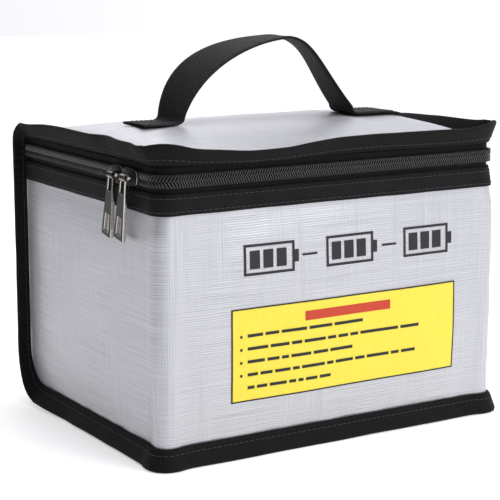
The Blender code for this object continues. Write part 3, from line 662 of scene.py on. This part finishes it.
# ------------------------------------------------------------------------------------------------
# Foam and lining. Boards of closed-cell foam lie between the outer cloth and a second layer of glass cloth,
# whose uncoated side faces in. They keep the bag in shape and slow the heat of a burning pack.
# ------------------------------------------------------------------------------------------------
FOAM = 0.0025
FOAM_DEPTH = CLOTH + 0.0002 + FOAM / 2  # to the middle of the boards
LINING = 0.0006
LINING_DEPTH = FOAM_DEPTH + FOAM / 2 + 0.0002 + LINING / 2
LINING_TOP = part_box("wall_lining")[1][2]

# Closed-cell polyethylene foam: off-white and matt, with a fine skin of closed bubbles.
cell_foam, tree, shader = new_material("closed_cell_foam", "#E6E5DE", 0.85)
place = add_node(tree, "TexCoord")
cells = add_node(tree, "TexVoronoi", {"Vector": place.outputs["Object"], "Scale": 900.0})
tree.links.new(mix_colours(tree, cells.outputs["Distance"], "#D6D4CB", "#F0EFEA"), shader.inputs["Base Color"])
bump(tree, shader, cells.outputs["Distance"], 0.08)

# The lining is the same glass cloth seen from behind: dull, with only a trace of the metal coat.
lining_cloth = woven_cloth("uncoated_glass_cloth", "#8C8D91", "#BFC0C4", 0.62, 0.15, 1.3, 1.3, 0.12)


def wall_rows(first, last, low, high, out):
    """Rows of points over part of the wall strip, `out` metres off it, from a height to another."""
    runs = spread(max(int((last - first) / MESH_STEP), 8), first, last)
    return [[wall_at(run, max(z, wall_foot(run) - out), out) for run in runs] for z in spread(50, low, high)]


def lid_rows(first, last, inset, out):
    """Rows of points over part of the lid strip, `out` metres above its outer face."""
    return [[over_and_down(run, lid_half(run, inset) * share, out) for share in spread(80, -1.0, 1.0)]
            for run in spread(110, first, last)]


board_foot = WALL_FOOT + 0.004
board_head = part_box("front_foam")[1][2]
front_start = SIDE_RUN + CORNER_RUN + 0.001
boards = {
    "left_foam": wall_rows(0.006, SIDE_RUN - 0.001, board_foot, board_head, -FOAM_DEPTH),
    "front_foam": wall_rows(front_start, front_start + FRONT_RUN - 0.002, board_foot, board_head, -FOAM_DEPTH),
    "right_foam": wall_rows(ROUND_RUN - SIDE_RUN + 0.001, ROUND_RUN - 0.006, board_foot, board_head, -FOAM_DEPTH),
    "bottom_foam": [[under_and_up(run, x, -FOAM_DEPTH) for x in spread(60, STRIP_LEFT + 0.004, STRIP_RIGHT - 0.004)]
                    for run in spread(50, 0.003, FLAT_RUN - 0.002)],
    "back_foam": [[under_and_up(run, x, -FOAM_DEPTH) for x in spread(60, STRIP_LEFT + 0.004, STRIP_RIGHT - 0.004)]
                  for run in spread(50, FLAT_RUN + CURVE_RUN + 0.002, FLAT_RUN + CURVE_RUN + BACK_RUN - 0.003)],
    "lid_foam": lid_rows(0.010, LID_FLAT_RUN - 0.002, CORNER, -FOAM_DEPTH),
}
for name, rows in boards.items():
    board = thicken(skin(name + "_board", rows, cell_foam), FOAM, offset=0)
    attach(board, "lid" if name == "lid_foam" else "bag_body")
    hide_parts(name)

inner = LINING_DEPTH + 0.0004
rows = wall_rows(LINING_DEPTH, ROUND_RUN - LINING_DEPTH, WALL_FOOT + inner, LINING_TOP, -LINING_DEPTH)
side_lining = skin("wall_lining_cloth", rows, lining_cloth)
rows = [[under_and_up(run, x, -LINING_DEPTH) for x in spread(80, LEFT + LINING_DEPTH, RIGHT - LINING_DEPTH)]
        for run in spread(150, inner, FLAT_RUN + CURVE_RUN + BACK_RUN)]
floor_lining = skin("floor_lining_cloth", rows, lining_cloth)
last = LID_FLAT_RUN + LID_FOLD_RUN + LID_DROP_RUN
top_lining = skin("lid_lining_cloth", lid_rows(inner, last, inner, -LINING_DEPTH), lining_cloth)
for lining, node, flat in (
    (side_lining, "wall_lining", (ROUND_RUN, LINING_TOP - WALL_FOOT)),
    (floor_lining, "back_bottom_lining", (RIGHT - LEFT, FLAT_RUN + CURVE_RUN + BACK_RUN)),
    (top_lining, "lid_lining", (RIGHT - LEFT, last)),
):
    thicken(lining, LINING, offset=0)
    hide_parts(node)
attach(side_lining, "bag_body")
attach(floor_lining, "bag_body")
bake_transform(top_lining)

# ------------------------------------------------------------------------------------------------
# Ribbon below the zip. A polyester ribbon covers the raw upper edge of the wall cloth and holds the
# lower zip tape, with a row of stitches near each of its edges.
# ------------------------------------------------------------------------------------------------
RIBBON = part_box("lower_band")
RIBBON_OFF = 0.0013
RIBBON_THICK = 0.0009
STRIP_END = BACK - RIBBON[1][1]  # what lies outside the wall stops this far ahead of the rear seam

ribbon_tape = tape_material("ribbed_polyester_ribbon", "#050506", "#2A2A2D", 1.0, 0.16)


def strip_rows(low, high, levels, out, sway=0.0, begin=STRIP_END):
    """Rows of points for a strip round three sides, `out` metres off the wall, rounded over its two edges."""
    found = []
    for share in spread(levels, 0.0, 1.0):
        row = []
        for run in spread(320, begin, ROUND_RUN - begin):
            edge = sway * ripple(run, share, 9.0, 0.03)
            puff = 0.00025 * arch(share, 2) + 0.00015 * ripple(run, share * 0.01, 11.0, 0.012)
            row.append(wall_at(run, low + (high - low) * share + edge, out + puff))
        found.append(row)
    return found


rows = strip_rows(RIBBON[0][2], RIBBON[1][2], 8, RIBBON_OFF, 0.0004)
ribbon = thicken(skin("lower_ribbon", rows, ribbon_tape), RIBBON_THICK)
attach(ribbon, "bag_body")
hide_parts("lower_band")

edit = bmesh.new()
runs = spread(640, STRIP_END + 0.001, ROUND_RUN - STRIP_END - 0.001)
for height in (RIBBON[0][2] + 0.0019, RIBBON[1][2] - 0.0024):
    line = [wall_at(run, height, RIBBON_OFF + 0.0003) for run in runs]
    add_stitches(edit, line, [round_bag(run)[1] for run in runs], STITCH, STITCH_GAP, THREAD)
ribbon_stitches = new_piece("lower_ribbon_stitches", edit, sewing_thread)
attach(ribbon_stitches, "bag_body")

# ------------------------------------------------------------------------------------------------
# Zip. Two woven tapes, each with a row of teeth that is one nylon thread wound into a flat coil and
# sewn on. The two rows hook into each other half a turn apart.
# ------------------------------------------------------------------------------------------------
CHAIN_Z = (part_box("zip_coil_lower")[0][2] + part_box("zip_coil_upper")[1][2]) / 2
CHAIN_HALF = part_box("zip_coil_upper")[1][2] - CHAIN_Z
TOOTH_PITCH = 0.0015
TOOTH_THREAD = 0.00034
TOOTH_SLANT = 0.35  # how far the teeth lean along the chain for each millimetre from its middle
TOOTH_HOOK = 0.0006  # how far a tooth reaches past the middle of the chain
COIL_OUT = 0.0014  # from the wall to the middle of the coil
COIL_DEEP = 0.0011
COIL_POINTS = 12

zip_tape = tape_material("woven_zip_tape", "#040405", "#161618", 0.8, 0.08)
for name, body in (("zip_tape_lower", "bag_body"), ("zip_tape_upper", "lid")):
    low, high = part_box(name)
    tape = thicken(skin(name + "_woven", strip_rows(low[2], high[2], 6, 0.0, begin=0.0004), zip_tape), 0.0006)
    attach(tape, body)
    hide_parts(name)

zip_tape_thread, tree, shader = new_material("black_lacing_thread", "#101011", 0.6)
place = add_node(tree, "TexCoord")
twist = add_node(tree, "TexNoise", {"Vector": place.outputs["Object"], "Scale": 1500.0})
tree.links.new(mix_colours(tree, twist.outputs[0], "#070708", "#1D1D1F"), shader.inputs["Base Color"])

# Nylon monofilament: black, smooth and glossy, with a bright line along each turn.
nylon, tree, shader = new_material("nylon_monofilament", "#2A2A2C", 0.24, Coat_Weight=0.6)
shader.inputs["Coat Roughness"].default_value = 0.15
place = add_node(tree, "TexCoord")
scuff = add_node(tree, "TexNoise", {"Vector": place.outputs["Object"], "Scale": 900.0, "Detail": 2.0})
tree.links.new(mix_colours(tree, scuff.outputs[0], "#141416", "#313134"), shader.inputs["Base Color"])
rub = add_node(tree, "MapRange", {0: scuff.outputs[0], 3: 0.22, 4: 0.42})
tree.links.new(rub.outputs[0], shader.inputs["Roughness"])


def coil_point(turn, up):
    """A point of a coil after a number of turns; up is 1 for the lid's coil and -1 for the body's."""
    run = STRIP_END + 0.001 + TOOTH_PITCH * (turn + (0.5 if up > 0 else 0.0))
    phase = 2 * pi * turn
    reach = (CHAIN_HALF + TOOTH_HOOK) / 2 - TOOTH_THREAD
    flat = abs(cos(phase)) ** 0.7 * (1 if cos(phase) > 0 else -1)
    z = CHAIN_Z + up * ((CHAIN_HALF - TOOTH_HOOK) / 2 - reach * flat)
    place, outward = round_bag(run + TOOTH_SLANT * abs(z - CHAIN_Z))
    point = place + outward * (COIL_OUT + (COIL_DEEP - TOOTH_THREAD) * sin(phase))
    return Vector((point.x, point.y, z))


turns = int((ROUND_RUN - 2 * STRIP_END - 0.002) / TOOTH_PITCH) - 1
for up, name, body in ((-1, "zip_coil_lower", "bag_body"), (1, "zip_coil_upper", "lid")):
    edit = bmesh.new()
    steps = range(turns * COIL_POINTS)
    add_tube(edit, [coil_point(step / COIL_POINTS, up) for step in steps], TOOTH_THREAD, 6)
    teeth = new_piece(name + "_teeth", edit, nylon)
    edit = bmesh.new()
    runs = spread(turns * 2, STRIP_END + 0.001, ROUND_RUN - STRIP_END - 0.001)
    for level in (0.74, 0.90):
        line = []
        for i, run in enumerate(runs):
            place, outward = round_bag(run)
            point = place + outward * (COIL_OUT + COIL_DEEP - 0.0001 - 0.0004 * (i % 2))
            line.append(Vector((point.x, point.y, CHAIN_Z + up * CHAIN_HALF * level)))
        add_tube(edit, line, 0.00017, 5)
    lacing = new_piece(name + "_lacing", edit, zip_tape_thread)
    # Inside the coil lies a cord, which hides the far side of each turn.
    rows = []
    for level in spread(4, 0.02, 0.93):
        row = []
        for run in runs:
            place, outward = round_bag(run)
            point = place + outward * COIL_OUT
            row.append(Vector((point.x, point.y, CHAIN_Z + up * CHAIN_HALF * level)))
        rows.append(row)
    core = thicken(skin(name + "_core", rows, zip_tape), 0.0005, offset=0)
    for piece in (teeth, lacing, core):
        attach(piece, body)
    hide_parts(name)

# ------------------------------------------------------------------------------------------------
# Sliders and pulls. Die-cast zinc with a black-nickel plate. Each slider has a domed front plate, a back
# plate behind the tape and a bent bridge, and its pull is a flat plate with two windows that hangs from it.
# ------------------------------------------------------------------------------------------------
BRIDGE_BAR = 0.0008
PLATE_THICK = 0.0010
BRIDGE_HALF, BRIDGE_BEND = 0.00405, 0.0011
SLEEVE_IN, SLEEVE_OUT, SLEEVE_HALF = 0.0012, 0.0019, 0.0028  # the pull's sleeve round the bridge
PULL_DROP = 0.0338  # from the bridge to the pull's lower edge
PULL_TOP_WIDTH = 0.0058
PULL_FOOT_WIDTH = 0.0104
PULL_THICK = 0.0020
PULL_LEAN = radians(11)  # the pulls hang a little towards the back


def plated_zinc(name, dark, light, roughness):
    """Black-nickel plate: dark, warm and metallic, with faint wear in its gloss."""
    made, tree, shader = new_material(name, light, roughness, 1.0)
    place = add_node(tree, "TexCoord")
    wear = add_node(tree, "TexNoise", {"Vector": place.outputs["Object"], "Scale": 700.0, "Detail": 3.0})
    tree.links.new(mix_colours(tree, wear.outputs[0], dark, light), shader.inputs["Base Color"])
    gloss = add_node(tree, "MapRange", {0: wear.outputs[0], 3: roughness - 0.08, 4: roughness + 0.1})
    tree.links.new(gloss.outputs[0], shader.inputs["Roughness"])
    bump(tree, shader, wear.outputs[0], 0.012)
    return made


dark_nickel = plated_zinc("black_nickel_plate", "#100E0D", "#231F1D", 0.30)
# A much lighter copy of the same plate for the faces that turn sideways: painted reflection of the white room along
# the edges of the sliders and pulls.
nickel_edge_reflection = plated_zinc("nickel_edge_painted_reflection", "#A8A39D", "#DDD8D2", 0.18)


def add_shield(edit, x, y, length, width, thick, nose, dome):
    """A slider plate: wide at its nose and narrower at its tail, domed on the side away from the tape."""
    rings = []
    profile = ((0.0, 0.94), (0.15, 1.0), (0.75, 1.0), (1.0, 0.92), (1.0 + dome, 0.55), (1.0 + dome * 1.3, 0.15))
    for depth, share in profile:
        ring = []
        for k in range(40):
            angle = 2 * pi * k / 40
            far = abs(cos(angle)) ** 0.55 * (1 if cos(angle) > 0 else -1)
            wide = abs(sin(angle)) ** 0.7 * (1 if sin(angle) > 0 else -1)
            waist = 0.90 + 0.10 * far
            along, up = nose * far * share * length / 2, wide * waist * share * width / 2
            ring.append(edit.verts.new((x - thick * depth, y + along, CHAIN_Z + up)))
        rings.append(ring)
    join_rings(edit, rings)
    edit.faces.new(rings[0])
    edit.faces.new(rings[-1])


def add_plate(edit, outline, windows, half, edge):
    """A flat plate in the YZ plane with windows in it, rounded edges and flat faces."""
    loops = []
    for points, grow in [(outline, -1)] + [(window, 1) for window in windows]:
        middle = sum((Vector(p) for p in points), Vector((0, 0))) / len(points)
        rings = []
        for x, inset in ((-half, edge), (-half + edge, 0.0), (half - edge, 0.0), (half, edge)):
            ring = []
            for point in points:
                off = Vector(point) - middle
                off *= 1 + grow * inset / off.length
                ring.append(edit.verts.new((x, middle.x + off.x, middle.y + off.y)))
            rings.append(ring)
        join_rings(edit, rings)
        loops.append(rings)
    for side in (0, -1):
        edges = []
        for rings in loops:
            ring = rings[side]
            edges += [edit.edges.get((ring[k], ring[(k + 1) % len(ring)])) for k in range(len(ring))]
        bmesh.ops.triangle_fill(edit, edges=edges, use_beauty=True)


def rounded(left, right, low, high, corner, lower_half=None):
    """A rounded outline in Y and Z; lower_half gives a different half width at the lower end."""
    middle, half = (left + right) / 2, (right - left) / 2
    foot = lower_half or half
    points = []
    for cx, cz, start in ((1, -1, -90), (1, 1, 0), (-1, 1, 90), (-1, -1, 180)):
        wide = (foot if cz < 0 else half) - corner
        for i in range(5):
            angle = radians(start + 22.5 * i)
            level = (low + corner) if cz < 0 else (high - corner)
            points.append((middle + cx * wide + corner * cos(angle), level + corner * sin(angle)))
    return points


for which, nose in (("front", 1), ("rear", -1)):
    slider_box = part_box(f"slider_{which}")
    y = (slider_box[0][1] + slider_box[1][1]) / 2
    length, width = slider_box[1][1] - slider_box[0][1], slider_box[1][2] - slider_box[0][2]
    joint = next(j for j in frame["joints"] if j["name"] == f"pull_{which}_swing")
    bar_x, bar_y, bar_z = joint["pos_m"]
    plate_x = LEFT - COIL_OUT - COIL_DEEP - 0.0003
    edit = bmesh.new()
    add_shield(edit, plate_x, y, length, width, PLATE_THICK, nose, 0.35)
    add_shield(edit, slider_box[1][0], y, length - 0.0015, width - 0.0014, PLATE_THICK, nose, 0.0)
    post = y + nose * (length / 2 - 0.004)
    bmesh.ops.create_cube(
        edit,
        size=1,
        matrix=Matrix.Translation(((plate_x + slider_box[1][0]) / 2 - 0.0003, post, CHAIN_Z))
        @ Matrix.Diagonal((slider_box[1][0] - plate_x, 0.004, 0.0006, 1)),
    )
    path = [Vector((plate_x - 0.0004, bar_y - BRIDGE_HALF, bar_z))]
    for side in (-1, 1):
        for i in range(5):
            angle = pi / 2 * (i / 4)
            fan = angle if side < 0 else pi / 2 - angle
            corner_y = bar_y + side * (BRIDGE_HALF - BRIDGE_BEND)
            bar_off = BRIDGE_BEND * (1 - sin(fan))
            path.append(Vector((bar_x + bar_off, corner_y + side * BRIDGE_BEND * cos(fan), bar_z)))
    path.append(Vector((plate_x - 0.0004, bar_y + BRIDGE_HALF, bar_z)))
    add_tube(edit, path, BRIDGE_BAR, 12)
    bmesh.ops.recalc_face_normals(edit, faces=edit.faces)
    slider = new_piece(f"slider_{which}_body", edit, dark_nickel, nickel_edge_reflection)
    # Sideways faces outside the front plate, on the dome's rim and the bridge, take the lighter copy: painted
    # reflection.
    for face in slider.data.polygons:
        if abs(face.normal.x) < 0.75 and face.center.x < plate_x:
            face.material_index = 1
    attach(slider, f"slider_{which}")
    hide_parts(f"slider_{which}")

    edit = bmesh.new()
    neck = -0.0019
    half_top = PULL_TOP_WIDTH / 2
    outline = rounded(-half_top, half_top, -PULL_DROP, neck + 0.0012, 0.0009, PULL_FOOT_WIDTH / 2)
    eye = rounded(-0.0018, 0.0018, neck - 0.0072, neck - 0.0003, 0.0008)
    slot = rounded(-0.0023, 0.0023, -PULL_DROP + 0.0022, -PULL_DROP + 0.0122, 0.0006, 0.0027)
    add_plate(edit, outline, (eye, slot), PULL_THICK / 2, 0.00022)
    bmesh.ops.rotate(edit, cent=(0, 0, 0), matrix=Matrix.Rotation(PULL_LEAN, 3, "X"), verts=edit.verts)
    sleeve = []
    for angle in spread(20, radians(-80), radians(260)):
        ring = []
        for radius, wide in ((SLEEVE_IN, -1), (SLEEVE_OUT, -1), (SLEEVE_OUT, 1), (SLEEVE_IN, 1)):
            ring.append(edit.verts.new((radius * cos(angle), wide * SLEEVE_HALF, radius * sin(angle))))
        sleeve.append(ring)
    join_rings(edit, sleeve)
    edit.faces.new(sleeve[0])
    edit.faces.new(sleeve[-1])
    bmesh.ops.translate(edit, vec=(bar_x, bar_y, bar_z), verts=edit.verts)
    bmesh.ops.recalc_face_normals(edit, faces=edit.faces)
    pull = new_piece(f"pull_{which}_plate", edit, dark_nickel, nickel_edge_reflection)
    pull.data.set_sharp_from_angle(angle=radians(40))
    # Faces that turn away from the pull's flat sides take the lighter copy: painted reflection along its edges.
    for face in pull.data.polygons:
        if abs(face.normal.x) < 0.85:
            face.material_index = 1
    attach(pull, f"pull_{which}")
    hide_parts(f"pull_{which}")

# ------------------------------------------------------------------------------------------------
# Handle. One length of woven polypropylene webbing, laid flat and sewn to the lid at both ends with a
# box and a cross of stitches. It stands up by its own stiffness, a little twisted.
# ------------------------------------------------------------------------------------------------
STRAP_HALF = 0.0125
STRAP_THICK = 0.0017
STRAP_LIE = STRAP_THICK / 2 + 0.0003  # from the lid to the middle of the webbing
FOOT_BEND = 0.004
TWILL_MM, TWILL_SLOPE, YARN_MM = 1.5, 0.8, 0.8
STRAP_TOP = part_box("handle_arch")[1][2]
ROOTS = (FEET["left"][1][0] - 0.0025, FEET["right"][0][0] + 0.0035)
ENDS = (FEET["left"][0][0], FEET["right"][1][0])


def bezier(a, b, c, d, share):
    """A point on a cubic curve."""
    rest = 1 - share
    return rest**3 * a + 3 * rest**2 * share * b + 3 * rest * share**2 * c + share**3 * d


def strap_edge(side):
    """One edge of the webbing from end to end, as points in X and Z; side is -1 for the front, 1 for the rear."""
    top = Vector((0.0142, STRAP_TOP - STRAP_THICK / 2))
    left_root = Vector((ROOTS[0] + (0.0 if side > 0 else 0.003), 0))
    right_root = Vector((ROOTS[1] + 0.0030 + side * 0.0003, 0))
    for root in (left_root, right_root):
        root.y = lid_top(root.x, STRAP_Y) + STRAP_LIE + FOOT_BEND
    rise = top.y - left_root.y
    if side > 0:
        climb = (left_root + Vector((0.004, rise * 0.76)), left_root + Vector((0.033, rise * 0.97)))
        fall = (top + Vector((0.025, 0)), right_root + Vector((-0.018, rise * 0.56)))
    else:
        climb = (left_root + Vector((0.010, rise * 0.56)), left_root + Vector((0.036, rise * 0.92)))
        fall = (top + Vector((0.0165, 0)), right_root + Vector((-0.021, rise * 0.54)))
    points = foot_run(ENDS[0], left_root.x, -1)
    points += [bezier(left_root, *climb, top, share) for share in spread(40, 0.0, 1.0)[1:]]
    points += [bezier(top, *fall, right_root, share) for share in spread(40, 0.0, 1.0)[1:]]
    return points + foot_run(ENDS[1], right_root.x, 1)[::-1]


def foot_run(end, root, side):
    """The part of the webbing that lies on the lid, from its end round the bend to where it leaves."""
    points = []
    for x in spread(14, end, root + side * FOOT_BEND)[:-1]:
        points.append(Vector((x, lid_top(x, STRAP_Y) + STRAP_LIE)))
    for angle in spread(8, 0.0, radians(82)):
        x = root + side * FOOT_BEND * (1 - sin(angle))
        ground = lid_top(root + side * FOOT_BEND, STRAP_Y) + STRAP_LIE
        points.append(Vector((x, ground + FOOT_BEND * (1 - cos(angle)))))
    return points


def webbing(name, dark, light):
    """Polypropylene webbing: matt black, in a fine twill whose slanting ribs show, with a plain woven edge."""
    made, tree, shader = new_material(name, light, 0.66, Specular_IOR_Level=0.22)
    place = add_node(tree, "UVMap", uv_map="cloth")
    split = add_node(tree, "SeparateXYZ", {0: place.outputs[0]})
    slant = maths(tree, "MULTIPLY_ADD", split.outputs[0], TWILL_SLOPE, split.outputs[1])
    yarn = rounded_ribs(tree, split.outputs[0], YARN_MM)
    both = maths(tree, "MULTIPLY_ADD", yarn, 0.5, rounded_ribs(tree, slant, TWILL_MM))
    lint = add_node(tree, "TexNoise", {"Vector": place.outputs[0], "Scale": 900.0, "Detail": 2.0})
    tone = maths(tree, "MULTIPLY", both, lint.outputs[0])
    tree.links.new(mix_colours(tree, tone, dark, light), shader.inputs["Base Color"])
    bump(tree, shader, both, 0.26)
    return made


black_webbing = webbing("polypropylene_webbing", "#040405", "#2B2B2E")
rear, front = strap_edge(1), strap_edge(-1)
sections, strap_frames = [], []
for i in range(len(rear)):
    a = Vector((front[i].x, STRAP_Y - STRAP_HALF, front[i].y))
    b = Vector((rear[i].x, STRAP_Y + STRAP_HALF, rear[i].y))
    before, after = max(i - 1, 0), min(i + 1, len(rear) - 1)
    along = Vector((rear[after].x - rear[before].x + front[after].x - front[before].x, 0,
                    rear[after].y - rear[before].y + front[after].y - front[before].y)).normalized()
    across = (b - a).normalized()
    normal = across.cross(along).normalized()
    section = []
    for face in (-1, 1):
        for share in spread(13, 0.0, 1.0) if face < 0 else spread(13, 1.0, 0.0):
            thin = STRAP_THICK / 2 * (1.0 if 0.04 < share < 0.96 else 0.55)
            cup = 0.0004 * (abs(2 * share - 1) ** 3)
            section.append(a.lerp(b, share) + normal * (face * thin - cup * (1 if 14 < i < len(rear) - 14 else 0)))
    sections.append(section)
    strap_frames.append(((a + b) / 2, along, across, normal))
strap = skin("handle_webbing", sections, black_webbing, closed=True)
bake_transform(strap)
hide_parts("handle_arch", "handle_foot_left", "handle_foot_right")

STITCH_INSET = 0.0028
for name, end, root in (("left", ENDS[0], ROOTS[0] - FOOT_BEND), ("right", ENDS[1], ROOTS[1] + FOOT_BEND)):
    inner = end + (STITCH_INSET if end < root else -STITCH_INSET)
    low_y, high_y = STRAP_Y - STRAP_HALF + STITCH_INSET, STRAP_Y + STRAP_HALF - STITCH_INSET
    corners = [(inner, low_y), (root, low_y), (root, high_y), (inner, high_y)]
    routes = [corners + corners[:1], (corners[0], corners[2]), (corners[1], corners[3])]
    edit = bmesh.new()
    for route in routes:
        line = []
        for (ax, ay), (bx, by) in zip(route, route[1:]):
            steps = max(int(hypot(bx - ax, by - ay) / 0.0005), 2)
            for share in spread(steps, 0.0, 1.0)[:-1]:
                x, y = ax + (bx - ax) * share, ay + (by - ay) * share
                line.append(Vector((x, y, lid_top(x, STRAP_Y) + STRAP_THICK + 0.0003)))
        add_stitches(edit, line, [Vector((0, 0, 1))] * len(line), 0.0024, 0.0006, 0.00026)
    box_stitches = new_piece(f"handle_stitches_{name}", edit, sewing_thread)
    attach(box_stitches, "lid")
    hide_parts(f"stitch_box_{name}")

# ------------------------------------------------------------------------------------------------
# Print on the front. A yellow panel with a thin black border, a red bar and rows of plain black dashes,
# and above it a wordless row of battery signs. Both are ink on a thin film, so the weave shows through.
# ------------------------------------------------------------------------------------------------
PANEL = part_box("front_label")
SIGN_LOW, SIGN_HIGH = 0.0975, 0.1140


def film_material(name, colour):
    """Screen-print ink: a flat strong colour with a slight satin gloss, on top of the weave."""
    made, tree, shader = new_material(name, colour, 0.5, Specular_IOR_Level=0.4)
    place = add_node(tree, "TexCoord")
    stretch = add_node(tree, "Mapping", {"Vector": place.outputs["Object"], "Scale": (900.0, 900.0, 700.0)})
    weave = add_node(tree, "TexNoise", {"Vector": stretch.outputs[0], "Scale": 1.0, "Detail": 1.0})
    tone = add_node(tree, "MapRange", {0: weave.outputs[0], 3: 0.9, 4: 1.06})
    shade = add_node(tree, "HueSaturation", {"Value": tone.outputs[0], "Color": srgb(colour)})
    tree.links.new(shade.outputs[0], shader.inputs["Base Color"])
    bump(tree, shader, weave.outputs[0], 0.06)
    return made


yellow_ink = film_material("yellow_screen_ink", "#EDDA46")
black_ink = film_material("black_screen_ink", "#17171A")
red_ink = film_material("red_screen_ink", "#C23A1C")
FRONT_START = SIDE_RUN + CORNER_RUN - (LEFT + CORNER)  # adds to x to give the run along the wall


def add_patch(edit, left, right, low, high, out, ink):
    """A patch of print that follows the front wall's surface, `out` metres off it."""
    across, up = max(int((right - left) / MESH_STEP), 1), max(int((high - low) / MESH_STEP), 1)
    grid = []
    for z in spread(up, low, high):
        grid.append([edit.verts.new(wall_at(FRONT_START + x, z, out)) for x in spread(across, left, right)])
    for first, second in zip(grid, grid[1:]):
        for j in range(across):
            edit.faces.new((first[j], first[j + 1], second[j + 1], second[j])).material_index = ink


def add_ring(edit, left, right, low, high, line, out, ink):
    """Four bars that frame a rectangle."""
    add_patch(edit, left, right, low, low + line, out, ink)
    add_patch(edit, left, right, high - line, high, out, ink)
    add_patch(edit, left, left + line, low + line, high - line, out, ink)
    add_patch(edit, right - line, right, low + line, high - line, out, ink)


FILM = 0.00025
left, right, low, high = PANEL[0][0], PANEL[1][0], PANEL[0][2], PANEL[1][2]
edit = bmesh.new()
add_patch(edit, left, right, low, high, FILM, 0)
add_ring(edit, left, right, low, high, 0.0008, FILM * 1.5, 1)
middle = (left + right) / 2
add_patch(edit, middle - 0.028, middle + 0.028, high - 0.0108, high - 0.0056, FILM * 1.5, 2)
LINE_STEP = 0.0070
LINE_TALL = 0.0017
DASH_ROWS = (  # lengths of the dashes that stand for words, in dash units
    (9, 8, 15, 14, 18),
    (12, 11, 6, 13, 5, 6, 5, 24, 12),
    (10, 7, 4, 12, 9, 14),
    (6, 7, 9, 4, 14, 4, 11, 6, 14, 5, 9),
    (4, 6, 10, 4, 3, 7, 7),
)
DASH_UNIT = 0.00105
for row_number, words in enumerate(DASH_ROWS):
    z = high - 0.0158 - LINE_STEP * row_number
    x = left + 0.0098
    if row_number < 4:
        add_patch(edit, left + 0.0052, left + 0.0066, z, z + 0.0014, FILM * 1.5, 1)
    for word in words:
        wide = word * DASH_UNIT
        add_patch(edit, x, x + wide, z, z + LINE_TALL, FILM * 1.5, 1)
        x += wide + 0.0016
panel = new_piece("front_panel_print", edit, yellow_ink, black_ink, red_ink)
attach(panel, "bag_body")
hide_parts("front_label")

edit = bmesh.new()
sign_tall = SIGN_HIGH - SIGN_LOW
for centre in (-0.044, 0.0075, 0.059):
    half = 0.0155
    add_ring(edit, centre - half, centre + half, SIGN_LOW, SIGN_HIGH, 0.0014, FILM, 0)
    low, high = SIGN_LOW + sign_tall * 0.3, SIGN_HIGH - sign_tall * 0.3
    add_patch(edit, centre + half, centre + half + 0.0026, low, high, FILM, 0)
    for bar in range(3):
        x = centre - half + 0.0036 + bar * 0.0082
        add_patch(edit, x, x + 0.0060, SIGN_LOW + 0.0034, SIGN_HIGH - 0.0034, FILM, 0)
for x in (-0.0235, 0.0290):
    add_patch(edit, x, x + 0.0095, (SIGN_LOW + SIGN_HIGH) / 2 - 0.0006, (SIGN_LOW + SIGN_HIGH) / 2 + 0.0006, FILM, 0)
signs = new_piece("front_battery_signs", edit, black_ink)
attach(signs, "bag_body")
